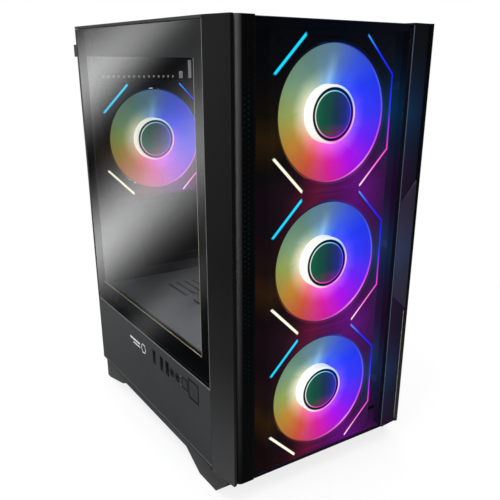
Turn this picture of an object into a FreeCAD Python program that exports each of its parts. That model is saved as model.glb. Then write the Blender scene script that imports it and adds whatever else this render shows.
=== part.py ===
"""Desktop computer tower: a small glass-fronted case with its fans, panels, controls and contents.

Frame: +Z up, the glass front faces -Y, the side window faces -X.
Origin: centre of the footprint, on the surface that the feet stand on. Millimetres.
"""
import FreeCAD, Part
import math
import os
import re
import Sketcher

from FreeCAD import Placement, Rotation, Vector

# Driving dimensions. Heights are above the surface that the feet stand on.
DIMENSIONS = {
    # whole case
    "case_width": 202.0,
    "case_height": 388.0,
    "front_face": -151.0,          # y of the front glass and rails
    "rear_face": 143.0,            # y of the outside of the rear panel
    "rear_reach": 8.0,             # what the pull tab and screw heads add behind the rear panel
    "bezel_depth": 29.7,
    "bezel_base": 18.4,            # underside of the front panel
    "bezel_taper": 5.0,            # how far the front corners stand in from the sides
    "panel_gap": 0.3,              # between a panel that comes off and what it sits against
    "sheet": 1.0,                  # steel sheet
    "floor_height": 22.0,
    "roof_sheet": 2.2,
    # side window
    "glass": 4.0,
    "window_base": 99.0,
    "window_margin_low": 24.3,
    "window_margin_high": 22.5,
    "window_margin_front": 13.3,
    "window_margin_rear": 13.0,
    "print_thickness": 0.3,
    "window_frame_sheet": 1.2,
    "strip_width": 4.2,
    "tab_height": 11.5,
    "tab_centre": 365.5,
    # front panel
    "rail_depth": 12.0,
    "front_glass_inset": 0.6,
    "glass_left": -76.0,
    "glass_right": 74.0,
    "bar_height": 6.0,
    "stud_radius": 3.0,
    "stud_length": 7.0,
    "stud_column": 84.0,
    "stud_low": 60.0,
    "stud_pitch": 140.0,
    "inlay_inner_low": 157.7,
    "inlay_inner_high": 243.0,
    "inlay_outer_low": 140.0,
    "inlay_outer_high": 263.4,
    # 120 mm fans
    "fan_size": 120.0,
    "fan_depth": 25.0,
    "fan_bolt_pitch": 105.0,
    "fan_bolt_radius": 2.2,
    "fan_duct_radius": 53.5,
    "fan_rotor_radius": 52.2,
    "fan_hub_radius": 20.0,
    "fan_hub_length": 17.0,
    "blade_middle": 8.0,
    "blade_thickness": 1.6,
    "tip_ring_depth": 11.0,
    "fan_shaft_radius": 2.0,
    "shaft_clearance": 0.05,
    "front_fan_setback": 6.0,
    "front_fan_low": 80.2,
    "front_fan_pitch": 120.1,
    "rear_fan_x": -30.5,
    "rear_fan_height": 276.5,
    "light_across": 118.0,
    "light_band": 2.8,
    "light_corner": 29.0,
    # base
    "skirt_wall": 4.0,
    "foot_width": 26.0,
    "pad_thickness": 1.5,
    # board, shroud and rear cut-outs
    "tray_x": 82.0,
    "tray_base": 114.0,
    "shroud_height": 112.0,
    "board_x": 74.0,
    "board_thick": 1.6,
    "board_base": 126.0,
    "board_size": 244.0,
    "board_rear": 140.0,
    "board_front": -86.0,
    "io_left": 30.0,
    "io_width": 44.4,
    "io_base": 206.0,
    "io_height": 158.7,
    "slot_left": -42.0,
    "slot_length": 113.0,
    "slot_width": 18.4,
    "slot_low": 134.5,
    "slot_pitch": 20.32,
    "cover_hole_radius": 0.9,
    "rear_vent_left": -75.6,
    "rear_vent_pitch": 5.76,
    "rear_vent_height": 340.5,
    "rear_vent_radius": 1.4,
    "thumbscrew_low": 60.0,
    "thumbscrew_high": 350.0,
    # power supply
    "psu_width": 150.0,
    "psu_height": 86.0,
    "psu_length": 140.0,
    "psu_base": 23.3,
    "psu_fan_radius": 56.0,
    "psu_fan_setback": 72.0,       # of its axis, in from the rear face
    "psu_shell": 1.2,
    "inlet_x": 48.0,
    "inlet_height": 55.0,          # above the base of the supply, as is the switch
    "switch_height": 27.0,
    # controls on the lower side panel
    "control_height": 83.4,
    "power_y": -90.3,
    "power_size": 16.0,
    "reset_y": -73.2,
    "reset_size": 8.6,
    "jack_pitch": 11.0,
    "jack_y": -58.7,
    "usb_y": -37.4,
    "usb_pitch": 12.4,
    "usb_width": 5.9,
    "usb_tall": 13.4,
    "usb_group_gap": 4.6,          # extra space before the third socket
    "socket_gap": 0.4,
    "button_gap": 0.3,
    "lamp_y": -65.4,
    "lamp_shift": 4.4,
    "control_board_x": 12.0,       # in from the side of the case
    "control_board_front": -104.0,
    "control_board_rear": 6.0,
    # processor and its cooler
    "cpu_y": 45.0,
    "cpu_height": 286.0,
    "cooler_base": 70.0,
    "cooler_fan_size": 90.0,
    "cooler_duct_radius": 42.0,
}

doc = FreeCAD.newDocument("computer_tower")
sheet = doc.addObject("Spreadsheet::Sheet", "Dims")
for row, (alias, number) in enumerate(DIMENSIONS.items(), start=1):
    sheet.set(f"A{row}", alias)
    sheet.set(f"B{row}", str(number))
    sheet.setAlias(f"B{row}", alias)
doc.recompute()

finished = []


def expression(text):
    """Turn a formula in the sheet's own words into a FreeCAD expression."""
    return re.sub(r"[A-Za-z_]+", lambda word: f"Dims.{word.group(0)}", str(text))


def dim(alias):
    """A number read from the sheet, for shapes made in code."""
    return float(sheet.get(alias))


def bind(thing, prop, text):
    thing.setExpression(prop, expression(text))


def place(thing, x, y, z):
    for letter, text in zip("xyz", (x, y, z)):
        bind(thing, f"Placement.Base.{letter}", text)


def node(thing, label):
    """Mark an object as one finished sub-part."""
    thing.Label = label
    finished.append(thing)
    return thing


# ---- primitives and booleans ------------------------------------------------

def box(low, high, name="Block"):
    """A block between two corners, each given as three formulas."""
    block = doc.addObject("Part::Box", name)
    for prop, start, end in zip(("Length", "Width", "Height"), low, high):
        bind(block, prop, f"({end}) - ({start})")
    place(block, *low)
    return block


AXIS_TURN = {
    "X": Rotation(Vector(0, 1, 0), 90),
    "Y": Rotation(Vector(1, 0, 0), -90),
    "Z": Rotation(),
}


def rod(axis, start, length, radius, name="Rod"):
    """A cylinder that starts at a point and runs along +X, +Y or +Z."""
    cylinder = doc.addObject("Part::Cylinder", name)
    bind(cylinder, "Radius", radius)
    bind(cylinder, "Height", length)
    cylinder.Placement = Placement(Vector(), AXIS_TURN[axis])
    place(cylinder, *start)
    return cylinder


def fuse(shapes, name="Join"):
    joined = doc.addObject("Part::MultiFuse", name)
    joined.Shapes = shapes
    return joined


def cut(base, tools, name="Trim"):
    trimmed = doc.addObject("Part::Cut", name)
    trimmed.Base = base
    trimmed.Tool = tools[0] if len(tools) == 1 else fuse(tools)
    return trimmed


def group(shapes, name="Set"):
    """Several separate solids kept in one node."""
    compound = doc.addObject("Part::Compound", name)
    compound.Links = shapes
    return compound


def coded(shape, name="Shaped"):
    """A shape made in code from the sheet's numbers."""
    feature = doc.addObject("Part::Feature", name)
    feature.Shape = shape
    return feature


# ---- sketched plates --------------------------------------------------------

def number(text):
    """The value of a formula, for drawing a sketch at its true size before it is bound."""
    plain = re.sub(r"[A-Za-z_]+", lambda word: f"({dim(word.group(0))})", str(text))
    return FreeCAD.Units.Quantity(plain).Value


def corners(low, high):
    """The four corners of a rectangle, from two opposite ones."""
    return [(low[0], low[1]), (high[0], low[1]), (high[0], high[1]), (low[0], high[1])]


def draw(sketch, outlines, circles):
    """Draw closed outlines and circles, then bind every point and radius to its formula."""
    geometry = []
    constraints = []
    formulas = []

    def hold(kind, *reference, text):
        constraints.append(Sketcher.Constraint(kind, *reference, number(text)))
        formulas.append(text)

    for points in outlines:
        first = len(geometry)
        total = len(points)
        spots = [Vector(number(across), number(up), 0) for across, up in points]
        for step in range(total):
            geometry.append(Part.LineSegment(spots[step], spots[(step + 1) % total]))
        for step, (across, up) in enumerate(points):
            after = first + (step + 1) % total
            constraints.append(Sketcher.Constraint("Coincident", first + step, 2, after, 1))
            formulas.append(None)
            hold("DistanceX", -1, 1, first + step, 1, text=across)
            hold("DistanceY", -1, 1, first + step, 1, text=up)
    for across, up, radius in circles:
        index = len(geometry)
        centre = Vector(number(across), number(up), 0)
        geometry.append(Part.Circle(centre, Vector(0, 0, 1), number(radius)))
        hold("DistanceX", -1, 1, index, 3, text=across)
        hold("DistanceY", -1, 1, index, 3, text=up)
        hold("Radius", index, text=radius)
    sketch.addGeometry(geometry, False)
    sketch.addConstraint(constraints)
    for index, text in enumerate(formulas):
        if text is not None:
            sketch.setExpression(f"Constraints[{index}]", expression(text))


def sketched_body(label, plane, outlines, circles, length):
    """A PartDesign body: one sketch on an origin plane, padded."""
    body = doc.addObject("PartDesign::Body", label)
    origin = next(item for item in body.Origin.OriginFeatures if item.Role == f"{plane}_Plane")
    sketch = body.newObject("Sketcher::SketchObject", f"{label}_sketch")
    sketch.AttachmentSupport = [(origin, "")]
    sketch.MapMode = "FlatFace"
    draw(sketch, outlines, circles)
    pad = body.newObject("PartDesign::Pad", f"{label}_pad")
    pad.Profile = sketch
    bind(pad, "Length", length)
    body.Tip = pad
    return body


def plate(label, plane, offset, thickness, outline, windows=(), circles=()):
    """A flat sheet with its cut-outs. It starts at offset along the normal of plane XY, XZ or YZ."""
    body = sketched_body(label, plane, [outline, *windows], circles, thickness)
    if plane == "XY":
        bind(body, "Placement.Base.z", offset)
    elif plane == "YZ":
        bind(body, "Placement.Base.x", offset)
    else:
        # a sketch on the XZ plane is padded towards -Y
        bind(body, "Placement.Base.y", f"({offset}) + ({thickness})")
    return node(body, label)


def round_vent(across, up, radius, pitch=9.0, slot=6.0):
    """Upright slots that fill a circle, as rectangles for a plate."""
    openings = []
    columns = int(radius // pitch)
    for column in range(-columns, columns + 1):
        shift = column * pitch
        reach = abs(shift) + slot / 2
        if reach > radius - 4:
            continue
        half = math.sqrt(radius ** 2 - reach ** 2)
        low = (f"{across} + {shift - slot / 2}", f"{up} - {half:.2f}")
        high = (f"{across} + {shift + slot / 2}", f"{up} + {half:.2f}")
        openings.append(corners(low, high))
    return openings


def bolt_circles(across, up, pitch, radius):
    """Four screw holes on a square."""
    return [
        (f"{across} + {side}*{pitch}/2", f"{up} + {level}*{pitch}/2", radius)
        for side in (-1, 1)
        for level in (-1, 1)
    ]


# ---- steel chassis ----------------------------------------------------------

FAN_NAMES = ("bottom", "middle", "top")


def fan_height(index):
    return f"front_fan_low + {index}*front_fan_pitch"


def stud_height(index):
    return f"stud_low + {index}*stud_pitch"


def make_floor():
    slots = [
        corners((f"{x} - 2.5", f"{y} - 24"), (f"{x} + 2.5", f"{y} + 24"))
        for x in range(-45, 46, 10)
        for y in (42, 98)
    ]
    plate(
        "floor_pan", "XY", "floor_height", "sheet",
        corners(("sheet - case_width/2", "front_face + 32"), ("case_width/2 - 1.7", "rear_face - sheet")),
        windows=slots,
    )


def make_front_wall():
    openings = []
    holes = []
    for index in range(3):
        openings += round_vent("0", fan_height(index), 54.0, pitch=12.0, slot=8.0)
        holes += bolt_circles("0", fan_height(index), "fan_bolt_pitch", "fan_bolt_radius")
    for side in (-1, 1):
        for index in range(3):
            holes.append((f"{side}*stud_column", stud_height(index), "stud_radius + 0.35"))
    plate(
        "front_wall", "XZ", "front_face + 31", "sheet",
        corners(("5 - case_width/2", "floor_height"), ("case_width/2 - 2", "case_height - roof_sheet")),
        windows=openings, circles=holes,
    )


def slot_windows():
    """Rear openings for the four expansion slots."""
    return [
        corners(
            ("slot_left", f"slot_low + {index}*slot_pitch - slot_width/2"),
            ("slot_left + slot_length", f"slot_low + {index}*slot_pitch + slot_width/2"),
        )
        for index in range(4)
    ]


def make_rear_panel():
    openings = slot_windows()
    openings.append(corners(("io_left", "io_base"), ("io_left + io_width", "io_base + io_height")))
    openings.append(corners(("-psu_width/2 - 0.3", "psu_base - 0.3"),
                            ("psu_width/2 + 0.3", "psu_base + psu_height + 0.3")))
    openings += round_vent("rear_fan_x", "rear_fan_height", 54.0, pitch=8.0, slot=5.0)
    openings.append(corners(("12.5", "338.5"), ("17.5", "346")))
    openings.append(corners(("24", "338.5"), ("28.5", "357.5")))
    holes = bolt_circles("rear_fan_x", "rear_fan_height", "fan_bolt_pitch", "fan_bolt_radius")
    holes += [
        (f"rear_vent_left + {index}*rear_vent_pitch", "rear_vent_height", "rear_vent_radius")
        for index in range(15)
    ]
    plate(
        "rear_panel", "XZ", "rear_face - sheet", "sheet",
        corners(("5 - case_width/2", "floor_height"), ("case_width/2 - 2", "case_height - roof_sheet")),
        windows=openings, circles=holes,
    )


def make_roof():
    """Formed roof sheet with vent slots, two fan positions and a shallow bed for the filter."""
    sheet_block = box(("-case_width/2", "front_face + bezel_depth + panel_gap", "case_height - roof_sheet"),
                      ("case_width/2", "rear_face", "case_height"))
    bed = box(("-66", "front_face + 45", "case_height - 1"), ("66", "rear_face - 14", "case_height + 1"))
    tools = [bed]
    for y in range(-100, 126, 15):
        for side in (-1, 1):
            tools.append(box((f"{side}*25.5 - 20.5", f"{y} - 3", "case_height - 4"),
                             (f"{side}*25.5 + 20.5", f"{y} + 3", "case_height + 1")))
    for x in (-1, 1):
        for y in (-1, 1):
            tools.append(rod("Z", (f"{x}*fan_bolt_pitch/2", f"{y}*fan_bolt_pitch/2", "case_height - 4"),
                             "6", "fan_bolt_radius"))
    node(cut(sheet_block, tools), "roof_panel")


def make_tray():
    """Motherboard tray with its standoffs, cable pass-throughs and the hole behind the processor."""
    pass_throughs = [
        corners(("board_front - 16", f"{z} - 18"), ("board_front - 6", f"{z} + 18"))
        for z in (160, 240, 320)
    ]
    pass_throughs.append(corners(("20", "258"), ("78", "318")))
    plate(
        "motherboard_tray", "YZ", "tray_x", "sheet",
        corners(("front_face + 39", "tray_base"), ("rear_face - 1.2", "case_height - roof_sheet")),
        windows=pass_throughs,
    )


def standoff_points():
    """Places of the board's screws, as formula pairs in y and z."""
    return [
        (f"board_rear - {back}", f"board_base + {up}")
        for back in (16.5, 170.0, 214.0)
        for up in (10.2, 86.4, 237.5)
    ]


def make_standoffs():
    posts = [
        rod("X", ("board_x + board_thick", y, z), "tray_x - board_x - board_thick", "3")
        for y, z in standoff_points()
    ]
    node(group(posts), "standoffs")


def make_shroud():
    """Cover over the power supply bay: a top plate, folded down at its front end."""
    top = box(("6.2 - case_width/2", "-40", "shroud_height"),
              ("tray_x", "rear_face - 1.2", "shroud_height + sheet"))
    fold = box(("19 - case_width/2", "-40", "floor_height + 1.2"), ("tray_x", "-39", "shroud_height"))
    grilles = [
        box((f"{x} - 2", f"{y} - 22", "shroud_height - 1"), (f"{x} + 2", f"{y} + 22", "shroud_height + 3"))
        for x in range(-30, 61, 10)
        for y in (20, 80)
    ]
    node(cut(fuse([top, fold]), grilles), "psu_shroud")


def make_window_frame():
    plate(
        "window_frame", "YZ", "glass + print_thickness + panel_gap - case_width/2", "window_frame_sheet",
        corners(("front_face + 32.2", "window_base - 4"), ("rear_face - 1.2", "case_height - roof_sheet")),
        windows=[corners(
            ("front_face + 30 + window_margin_front", "window_base + window_margin_low"),
            ("rear_face - strip_width - window_margin_rear", "case_height - 2.5 - window_margin_high"))],
    )


USB_PLACES = ("usb_y", "usb_y + usb_pitch", "usb_y + 2*usb_pitch + usb_group_gap")


def make_lower_side_panel():
    """Fixed steel panel under the window; it carries the sockets and buttons."""
    height = "control_height"
    windows = [
        corners(("power_y - power_size/2 - button_gap", f"{height} - power_size/2 - button_gap"),
                ("power_y + power_size/2 + button_gap", f"{height} + power_size/2 + button_gap")),
        corners(("reset_y - reset_size/2 - button_gap", f"{height} - reset_size/2 - button_gap"),
                ("reset_y + reset_size/2 + button_gap", f"{height} + reset_size/2 + button_gap")),
    ]
    for middle in USB_PLACES:
        windows.append(corners(
            (f"{middle} - usb_width/2 - socket_gap", f"{height} - usb_tall/2 - socket_gap"),
            (f"{middle} + usb_width/2 + socket_gap", f"{height} + usb_tall/2 + socket_gap")))
    circles = [(f"jack_y + {index}*jack_pitch", height, "3.3") for index in range(2)]
    circles += [("lamp_y", f"{height} + {side}*lamp_shift", "1.0") for side in (1, -1)]
    plate(
        "lower_side_panel", "YZ", "-case_width/2", "sheet",
        corners(("front_face + bezel_depth + panel_gap", "floor_height"),
                ("rear_face", "window_base - panel_gap")),
        windows=windows, circles=circles,
    )


# ---- panels that come off ---------------------------------------------------

def make_window():
    """Tempered glass with its printed border, and the steel edge strip with the pull tab."""
    front = "front_face + bezel_depth + panel_gap"
    rear = "rear_face - strip_width"
    top = "case_height - roof_sheet - panel_gap"
    outside = "-case_width/2"
    pane = box((outside, front, "window_base"), ("glass - case_width/2", rear, top))
    node(pane, "window_glass")
    border = box(("glass - case_width/2", front, "window_base"),
                 ("glass + print_thickness - case_width/2", rear, top))
    clear = box(("glass - case_width/2 - 1",
                 "front_face + 30 + window_margin_front", "window_base + window_margin_low"),
                ("glass + print_thickness - case_width/2 + 1",
                 "rear_face - strip_width - window_margin_rear", "case_height - 2.5 - window_margin_high"))
    node(cut(border, [clear]), "window_border")
    strip = box((outside, rear, "window_base"), ("3.6 - case_width/2", "rear_face", top))
    node(strip, "window_rear_strip")
    blade = box((outside, "rear_face", "tab_centre - tab_height/2"),
                ("1.4 - case_width/2", "rear_face + rear_reach", "tab_centre + tab_height/2"))
    lip = box((outside, "rear_face + rear_reach - 1.4", "tab_centre - tab_height/2"),
              ("3.4 - case_width/2", "rear_face + rear_reach", "tab_centre + tab_height/2"))
    node(fuse([blade, lip]), "window_pull_tab")


def make_right_panel():
    """Plain steel side with folded edges and two captive thumbscrews."""
    front = "front_face + bezel_depth + panel_gap"
    top = "case_height - roof_sheet - panel_gap"
    skin = box(("case_width/2 - sheet", front, "floor_height"), ("case_width/2", "rear_face", top))
    lip = box(("case_width/2 - 1.6", "rear_face - 12", "floor_height + 1.4"),
              ("case_width/2", "rear_face - 0.2", f"{top} - 1.4"))
    node(fuse([skin, lip]), "right_side_panel")
    screws = []
    for height in ("thumbscrew_low", "thumbscrew_high"):
        head = rod("Y", ("case_width/2 - 7.5", "rear_face + 0.3", height), "rear_reach - 0.3", "6")
        slot = box(("case_width/2 - 14", "rear_face + rear_reach - 2", f"{height} - 0.7"),
                   ("case_width/2 - 1", "rear_face + rear_reach + 1", f"{height} + 0.7"))
        neck = box(("case_width/2 - 1.6", "rear_face - 0.2", f"{height} - 4"),
                   ("case_width/2 - 1", "rear_face + 2", f"{height} + 4"))
        screws.append(cut(fuse([head, neck]), [slot]))
    node(group(screws), "thumbscrews")


def side_prism(label, points, low, high):
    """An upright moulding: a plan outline carried from one height to another."""
    body = sketched_body(label, "XY", [points], (), f"({high}) - ({low})")
    bind(body, "Placement.Base.z", low)
    return body


def make_front_panel():
    """Moulded front panel: side strips, rails and bars round the smoked glass, and its snap studs."""
    back = "front_face + bezel_depth"
    for side, name in ((-1, "left"), (1, "right")):
        strip = side_prism(f"bezel_{name}_strip", [
            (f"{side}*case_width/2", back),
            (f"{side}*(case_width/2 - bezel_taper)", "front_face"),
            (f"{side}*(case_width/2 - bezel_taper - 3)", "front_face + 1"),
            (f"{side}*(case_width/2 - 4)", back),
        ], "bezel_base", "case_height")
        node(strip, f"bezel_{name}_strip")
    inner = "glass_left - 0.2"
    outer = "3.3 + bezel_taper - case_width/2"
    rail = side_prism("left_rail_block", [
        (outer, "front_face + 1.6"),
        (f"{outer} + 2.4", "front_face"),
        (inner, "front_face"),
        (inner, "front_face + rail_depth"),
        (f"{outer} - 1", "front_face + rail_depth"),
    ], "bezel_base", "case_height")
    holes = []
    for column in (0, 3.4):
        for step in range(92):
            holes.append(rod("Y", (f"glass_left - 9 + {column}", "front_face - 1",
                                   f"bezel_base + 12 + {step * 3.9:.1f} + {column / 2}"),
                             "rail_depth + 2", "0.8"))
    node(cut(rail, holes), "bezel_left_rail")
    inner = "glass_right + 0.4"
    outer = "case_width/2 - 3.3 - bezel_taper"
    rail = side_prism("right_rail_block", [
        (inner, "front_face"),
        (outer, "front_face + 1.6"),
        (f"{outer} + 1", "front_face + rail_depth"),
        (inner, "front_face + rail_depth"),
    ], "bezel_base", "case_height")
    recess = inlay_prism(-0.5, 4.0)
    node(cut(rail, [recess]), "bezel_right_rail")
    node(inlay_prism(0.0, 3.4), "rail_inlay")
    for name, low, high in (("top", "case_height - bar_height", "case_height"),
                            ("bottom", "bezel_base", "bezel_base + 1.4")):
        bar = box(("bezel_taper + 3.5 - case_width/2", "front_face + rail_depth", low),
                  ("case_width/2 - bezel_taper - 3.5", back, high))
        node(bar, f"bezel_{name}_bar")
    studs = []
    for side in (-1, 1):
        for index in range(3):
            studs.append(rod("Y", (f"{side}*stud_column", "front_face + rail_depth", stud_height(index)),
                             "31 - rail_depth + stud_length", "stud_radius"))
    node(group(studs), "bezel_studs")
    pane = box(("glass_left", "front_face + front_glass_inset", "bezel_base"),
               ("glass_right", "front_face + front_glass_inset + glass", "case_height - 0.8"))
    node(pane, "front_glass")


def inlay_prism(shift, depth):
    """The four-sided facet set into the right rail; shift moves its face back from the rail's face."""
    inner = dim("glass_right") + 1.0
    outer = dim("case_width") / 2 - 3.3 - dim("bezel_taper")
    face = dim("front_face")
    clearance = 0.0 if shift == 0.0 else 0.2
    points = [
        Vector(inner - clearance, face + shift, dim("inlay_inner_low") - clearance),
        Vector(outer + 1.5, face + shift, dim("inlay_outer_low") - clearance),
        Vector(outer + 1.5, face + shift, dim("inlay_outer_high") + clearance),
        Vector(inner - clearance, face + shift, dim("inlay_inner_high") + clearance),
    ]
    outline = Part.makePolygon(points + points[:1])
    slab = Part.Face(outline).extrude(Vector(0, depth, 0))
    # the outer end is dressed to the rail's own outline
    trim = Part.makeBox(10, 40, 400, Vector(outer - 0.25, face - 5, 0))
    keep = slab.cut(trim) if shift == 0.0 else slab
    return coded(keep)


def make_filters():
    """Magnetic dust filter on the roof, and the tray filter under the power supply."""
    mesh = box(("-65.5", "front_face + 45.5", "case_height - 0.9"),
               ("65.5", "rear_face - 14.5", "case_height"))
    node(mesh, "top_filter")
    frame = box(("-60", "8", "18.7"), ("60", "rear_face + 2", "21.7"))
    hollow = box(("-54", "14", "19.7"), ("54", "rear_face - 8", "23"))
    grip = box(("-18", "rear_face + 0.5", "18"), ("18", "rear_face + 3", "20"))
    node(cut(frame, [hollow, grip]), "psu_filter")


# ---- fans -------------------------------------------------------------------

def make_fan_frame(label, x, face, z):
    """Square frame with its duct, corner holes, rear struts and the shaft that carries the rotor."""
    low = (f"{x} - fan_size/2", face, f"{z} - fan_size/2")
    high = (f"{x} + fan_size/2", f"{face} + fan_depth", f"{z} + fan_size/2")
    duct = rod("Y", (x, f"{face} - 1", z), "fan_depth + 2", "fan_duct_radius")
    bolts = [
        rod("Y", (f"{x} + {side}*fan_bolt_pitch/2", f"{face} - 1", f"{z} + {level}*fan_bolt_pitch/2"),
            "fan_depth + 2", "fan_bolt_radius")
        for side in (-1, 1)
        for level in (-1, 1)
    ]
    ring = cut(box(low, high), [duct] + bolts)
    back = f"{face} + fan_depth - 3"
    struts = [
        box((f"{x} - fan_duct_radius - 1", back, f"{z} - 3"),
            (f"{x} + fan_duct_radius + 1", f"{back} + 3", f"{z} + 3")),
        box((f"{x} - 3", back, f"{z} - fan_duct_radius - 1"),
            (f"{x} + 3", f"{back} + 3", f"{z} + fan_duct_radius + 1")),
    ]
    motor = rod("Y", (x, back, z), "3", "fan_hub_radius")
    shaft = rod("Y", (x, f"{face} + 8", z), "fan_depth - 9", "fan_shaft_radius")
    node(fuse([ring, motor, shaft] + struts), label)


def octagon(across, x, z, y):
    """Square outline with its corners cut, as a wire in an upright plane."""
    half = across / 2
    near = half - dim("light_corner")
    points = []
    for side, level in ((1, 1), (-1, 1), (-1, -1), (1, -1)):
        pair = [Vector(x + side * half, y, z + level * near), Vector(x + side * near, y, z + level * half)]
        points += pair if side * level > 0 else pair[::-1]
    return Part.makePolygon(points + points[:1])


def make_fan_light(label, x, face, z):
    """Thin eight-sided light guide on the face of a fan frame."""
    outer = Part.Face(octagon(dim("light_across"), x, z, face - 1.0)).extrude(Vector(0, 0.95, 0))
    inner = Part.Face(octagon(dim("light_across") - 2 * dim("light_band"), x, z, face - 2.0))
    node(coded(outer.cut(inner.extrude(Vector(0, 3, 0)))), label)


def blade_section(distance, chord, pitch, middle):
    """Thin four-sided section of a blade, square to the radius it stands on."""
    along = Vector(0, math.sin(pitch), math.cos(pitch))
    through = Vector(0, math.cos(pitch), -math.sin(pitch))
    centre = Vector(distance, middle, 0)
    thickness = dim("blade_thickness")
    corners_here = []
    for run, rise in ((-1, -1), (1, -1), (1, 1), (-1, 1)):
        corners_here.append(centre + along * (run * chord / 2) + through * (rise * thickness / 2))
    return Part.makePolygon(corners_here + corners_here[:1])


def make_fan_rotor(label, x, face, z, blades=11):
    """Hub with a blind bore for the shaft, broad blades that overlap in front view, and a thin tip ring."""
    hub_radius = dim("fan_hub_radius")
    tip = dim("fan_rotor_radius")
    middle = dim("blade_middle")
    root = blade_section(hub_radius - 1.5, 13.0, math.radians(26), middle)
    end = blade_section(tip + 2.0, 31.0, math.radians(14), middle)
    blade = Part.makeLoft([root, end], True, True)
    blade = blade.common(Part.makeCylinder(tip, 40, Vector(0, -5, 0), Vector(0, 1, 0)))
    shape = Part.makeCylinder(hub_radius, dim("fan_hub_length"), Vector(0, 0.3, 0), Vector(0, 1, 0))
    ring_start = Vector(0, 1, 0)
    ring = Part.makeCylinder(tip, dim("tip_ring_depth"), ring_start, Vector(0, 1, 0))
    inside = Part.makeCylinder(tip - 1.0, dim("tip_ring_depth"), ring_start, Vector(0, 1, 0))
    shape = shape.fuse(ring.cut(inside))
    for index in range(blades):
        turned = blade.copy()
        turned.rotate(Vector(), Vector(0, 1, 0), 360.0 * index / blades)
        shape = shape.fuse(turned)
    bore_radius = dim("fan_shaft_radius") + dim("shaft_clearance")
    shape = shape.cut(Part.makeCylinder(bore_radius, 20, Vector(0, 7, 0), Vector(0, 1, 0)))
    shape.translate(Vector(x, face, z))
    node(coded(shape), label)


def make_fans():
    face = "front_face + front_fan_setback"
    face_number = dim("front_face") + dim("front_fan_setback")
    for index, name in enumerate(FAN_NAMES):
        height = dim("front_fan_low") + index * dim("front_fan_pitch")
        make_fan_frame(f"front_fan_frame_{name}", "0", face, fan_height(index))
        make_fan_light(f"front_fan_light_{name}", 0.0, face_number, height)
        make_fan_rotor(f"front_fan_rotor_{name}", 0.0, face_number, height)
    face = "rear_face - sheet - fan_depth"
    face_number = dim("rear_face") - dim("sheet") - dim("fan_depth")
    make_fan_frame("rear_fan_frame", "rear_fan_x", face, "rear_fan_height")
    make_fan_light("rear_fan_light", dim("rear_fan_x"), face_number, dim("rear_fan_height"))
    make_fan_rotor("rear_fan_rotor", dim("rear_fan_x"), face_number, dim("rear_fan_height"))


# ---- moulded base -----------------------------------------------------------

def skirt_points():
    """Side outline of the skirt and its two feet, as formula pairs in y and z."""
    return [
        ("front_face + 8", "bezel_base - panel_gap"),
        ("front_face + 24", "pad_thickness"),
        ("front_face + 54", "pad_thickness"),
        ("front_face + 80", "16"),
        ("rear_face - 68", "16"),
        ("rear_face - 57", "11"),
        ("rear_face - 17", "pad_thickness"),
        ("rear_face - 10", "pad_thickness"),
        ("rear_face - 10", "floor_height - panel_gap"),
        ("front_face + 31", "floor_height - panel_gap"),
        ("front_face + 31", "bezel_base - panel_gap"),
    ]


def make_skirt():
    for side, name in ((-1, "left"), (1, "right")):
        offset = "-case_width/2" if side < 0 else "case_width/2 - skirt_wall"
        plate(f"skirt_{name}", "YZ", offset, "skirt_wall", skirt_points())
    inner = "case_width/2 - skirt_wall"
    front = box((f"-({inner})", "front_face + 34", "10"), (inner, "front_face + 38", "floor_height"))
    rear = box((f"-({inner})", "rear_face - 15", "10"), (inner, "rear_face - 11", "18.4"))
    node(group([front, rear]), "skirt_crossbars")
    feet = []
    pads = []
    for side in (-1, 1):
        near = f"{side}*(case_width/2 - skirt_wall)"
        far = f"{side}*(case_width/2 - foot_width)"
        low_x, high_x = (near, far) if side < 0 else (far, near)
        for low_y, high_y in (("front_face + 24", "front_face + 54"), ("rear_face - 25", "rear_face - 11")):
            top = "9.8" if "front" in low_y else "9"
            feet.append(box((low_x, low_y, "pad_thickness"), (high_x, high_y, top)))
            pads.append(box((low_x, f"{low_y} + 3", "0"), (high_x, f"{high_y} - 2", "pad_thickness")))
    node(group(feet), "foot_blocks")
    node(group(pads), "foot_pads")


# ---- controls and sockets ---------------------------------------------------

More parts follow.
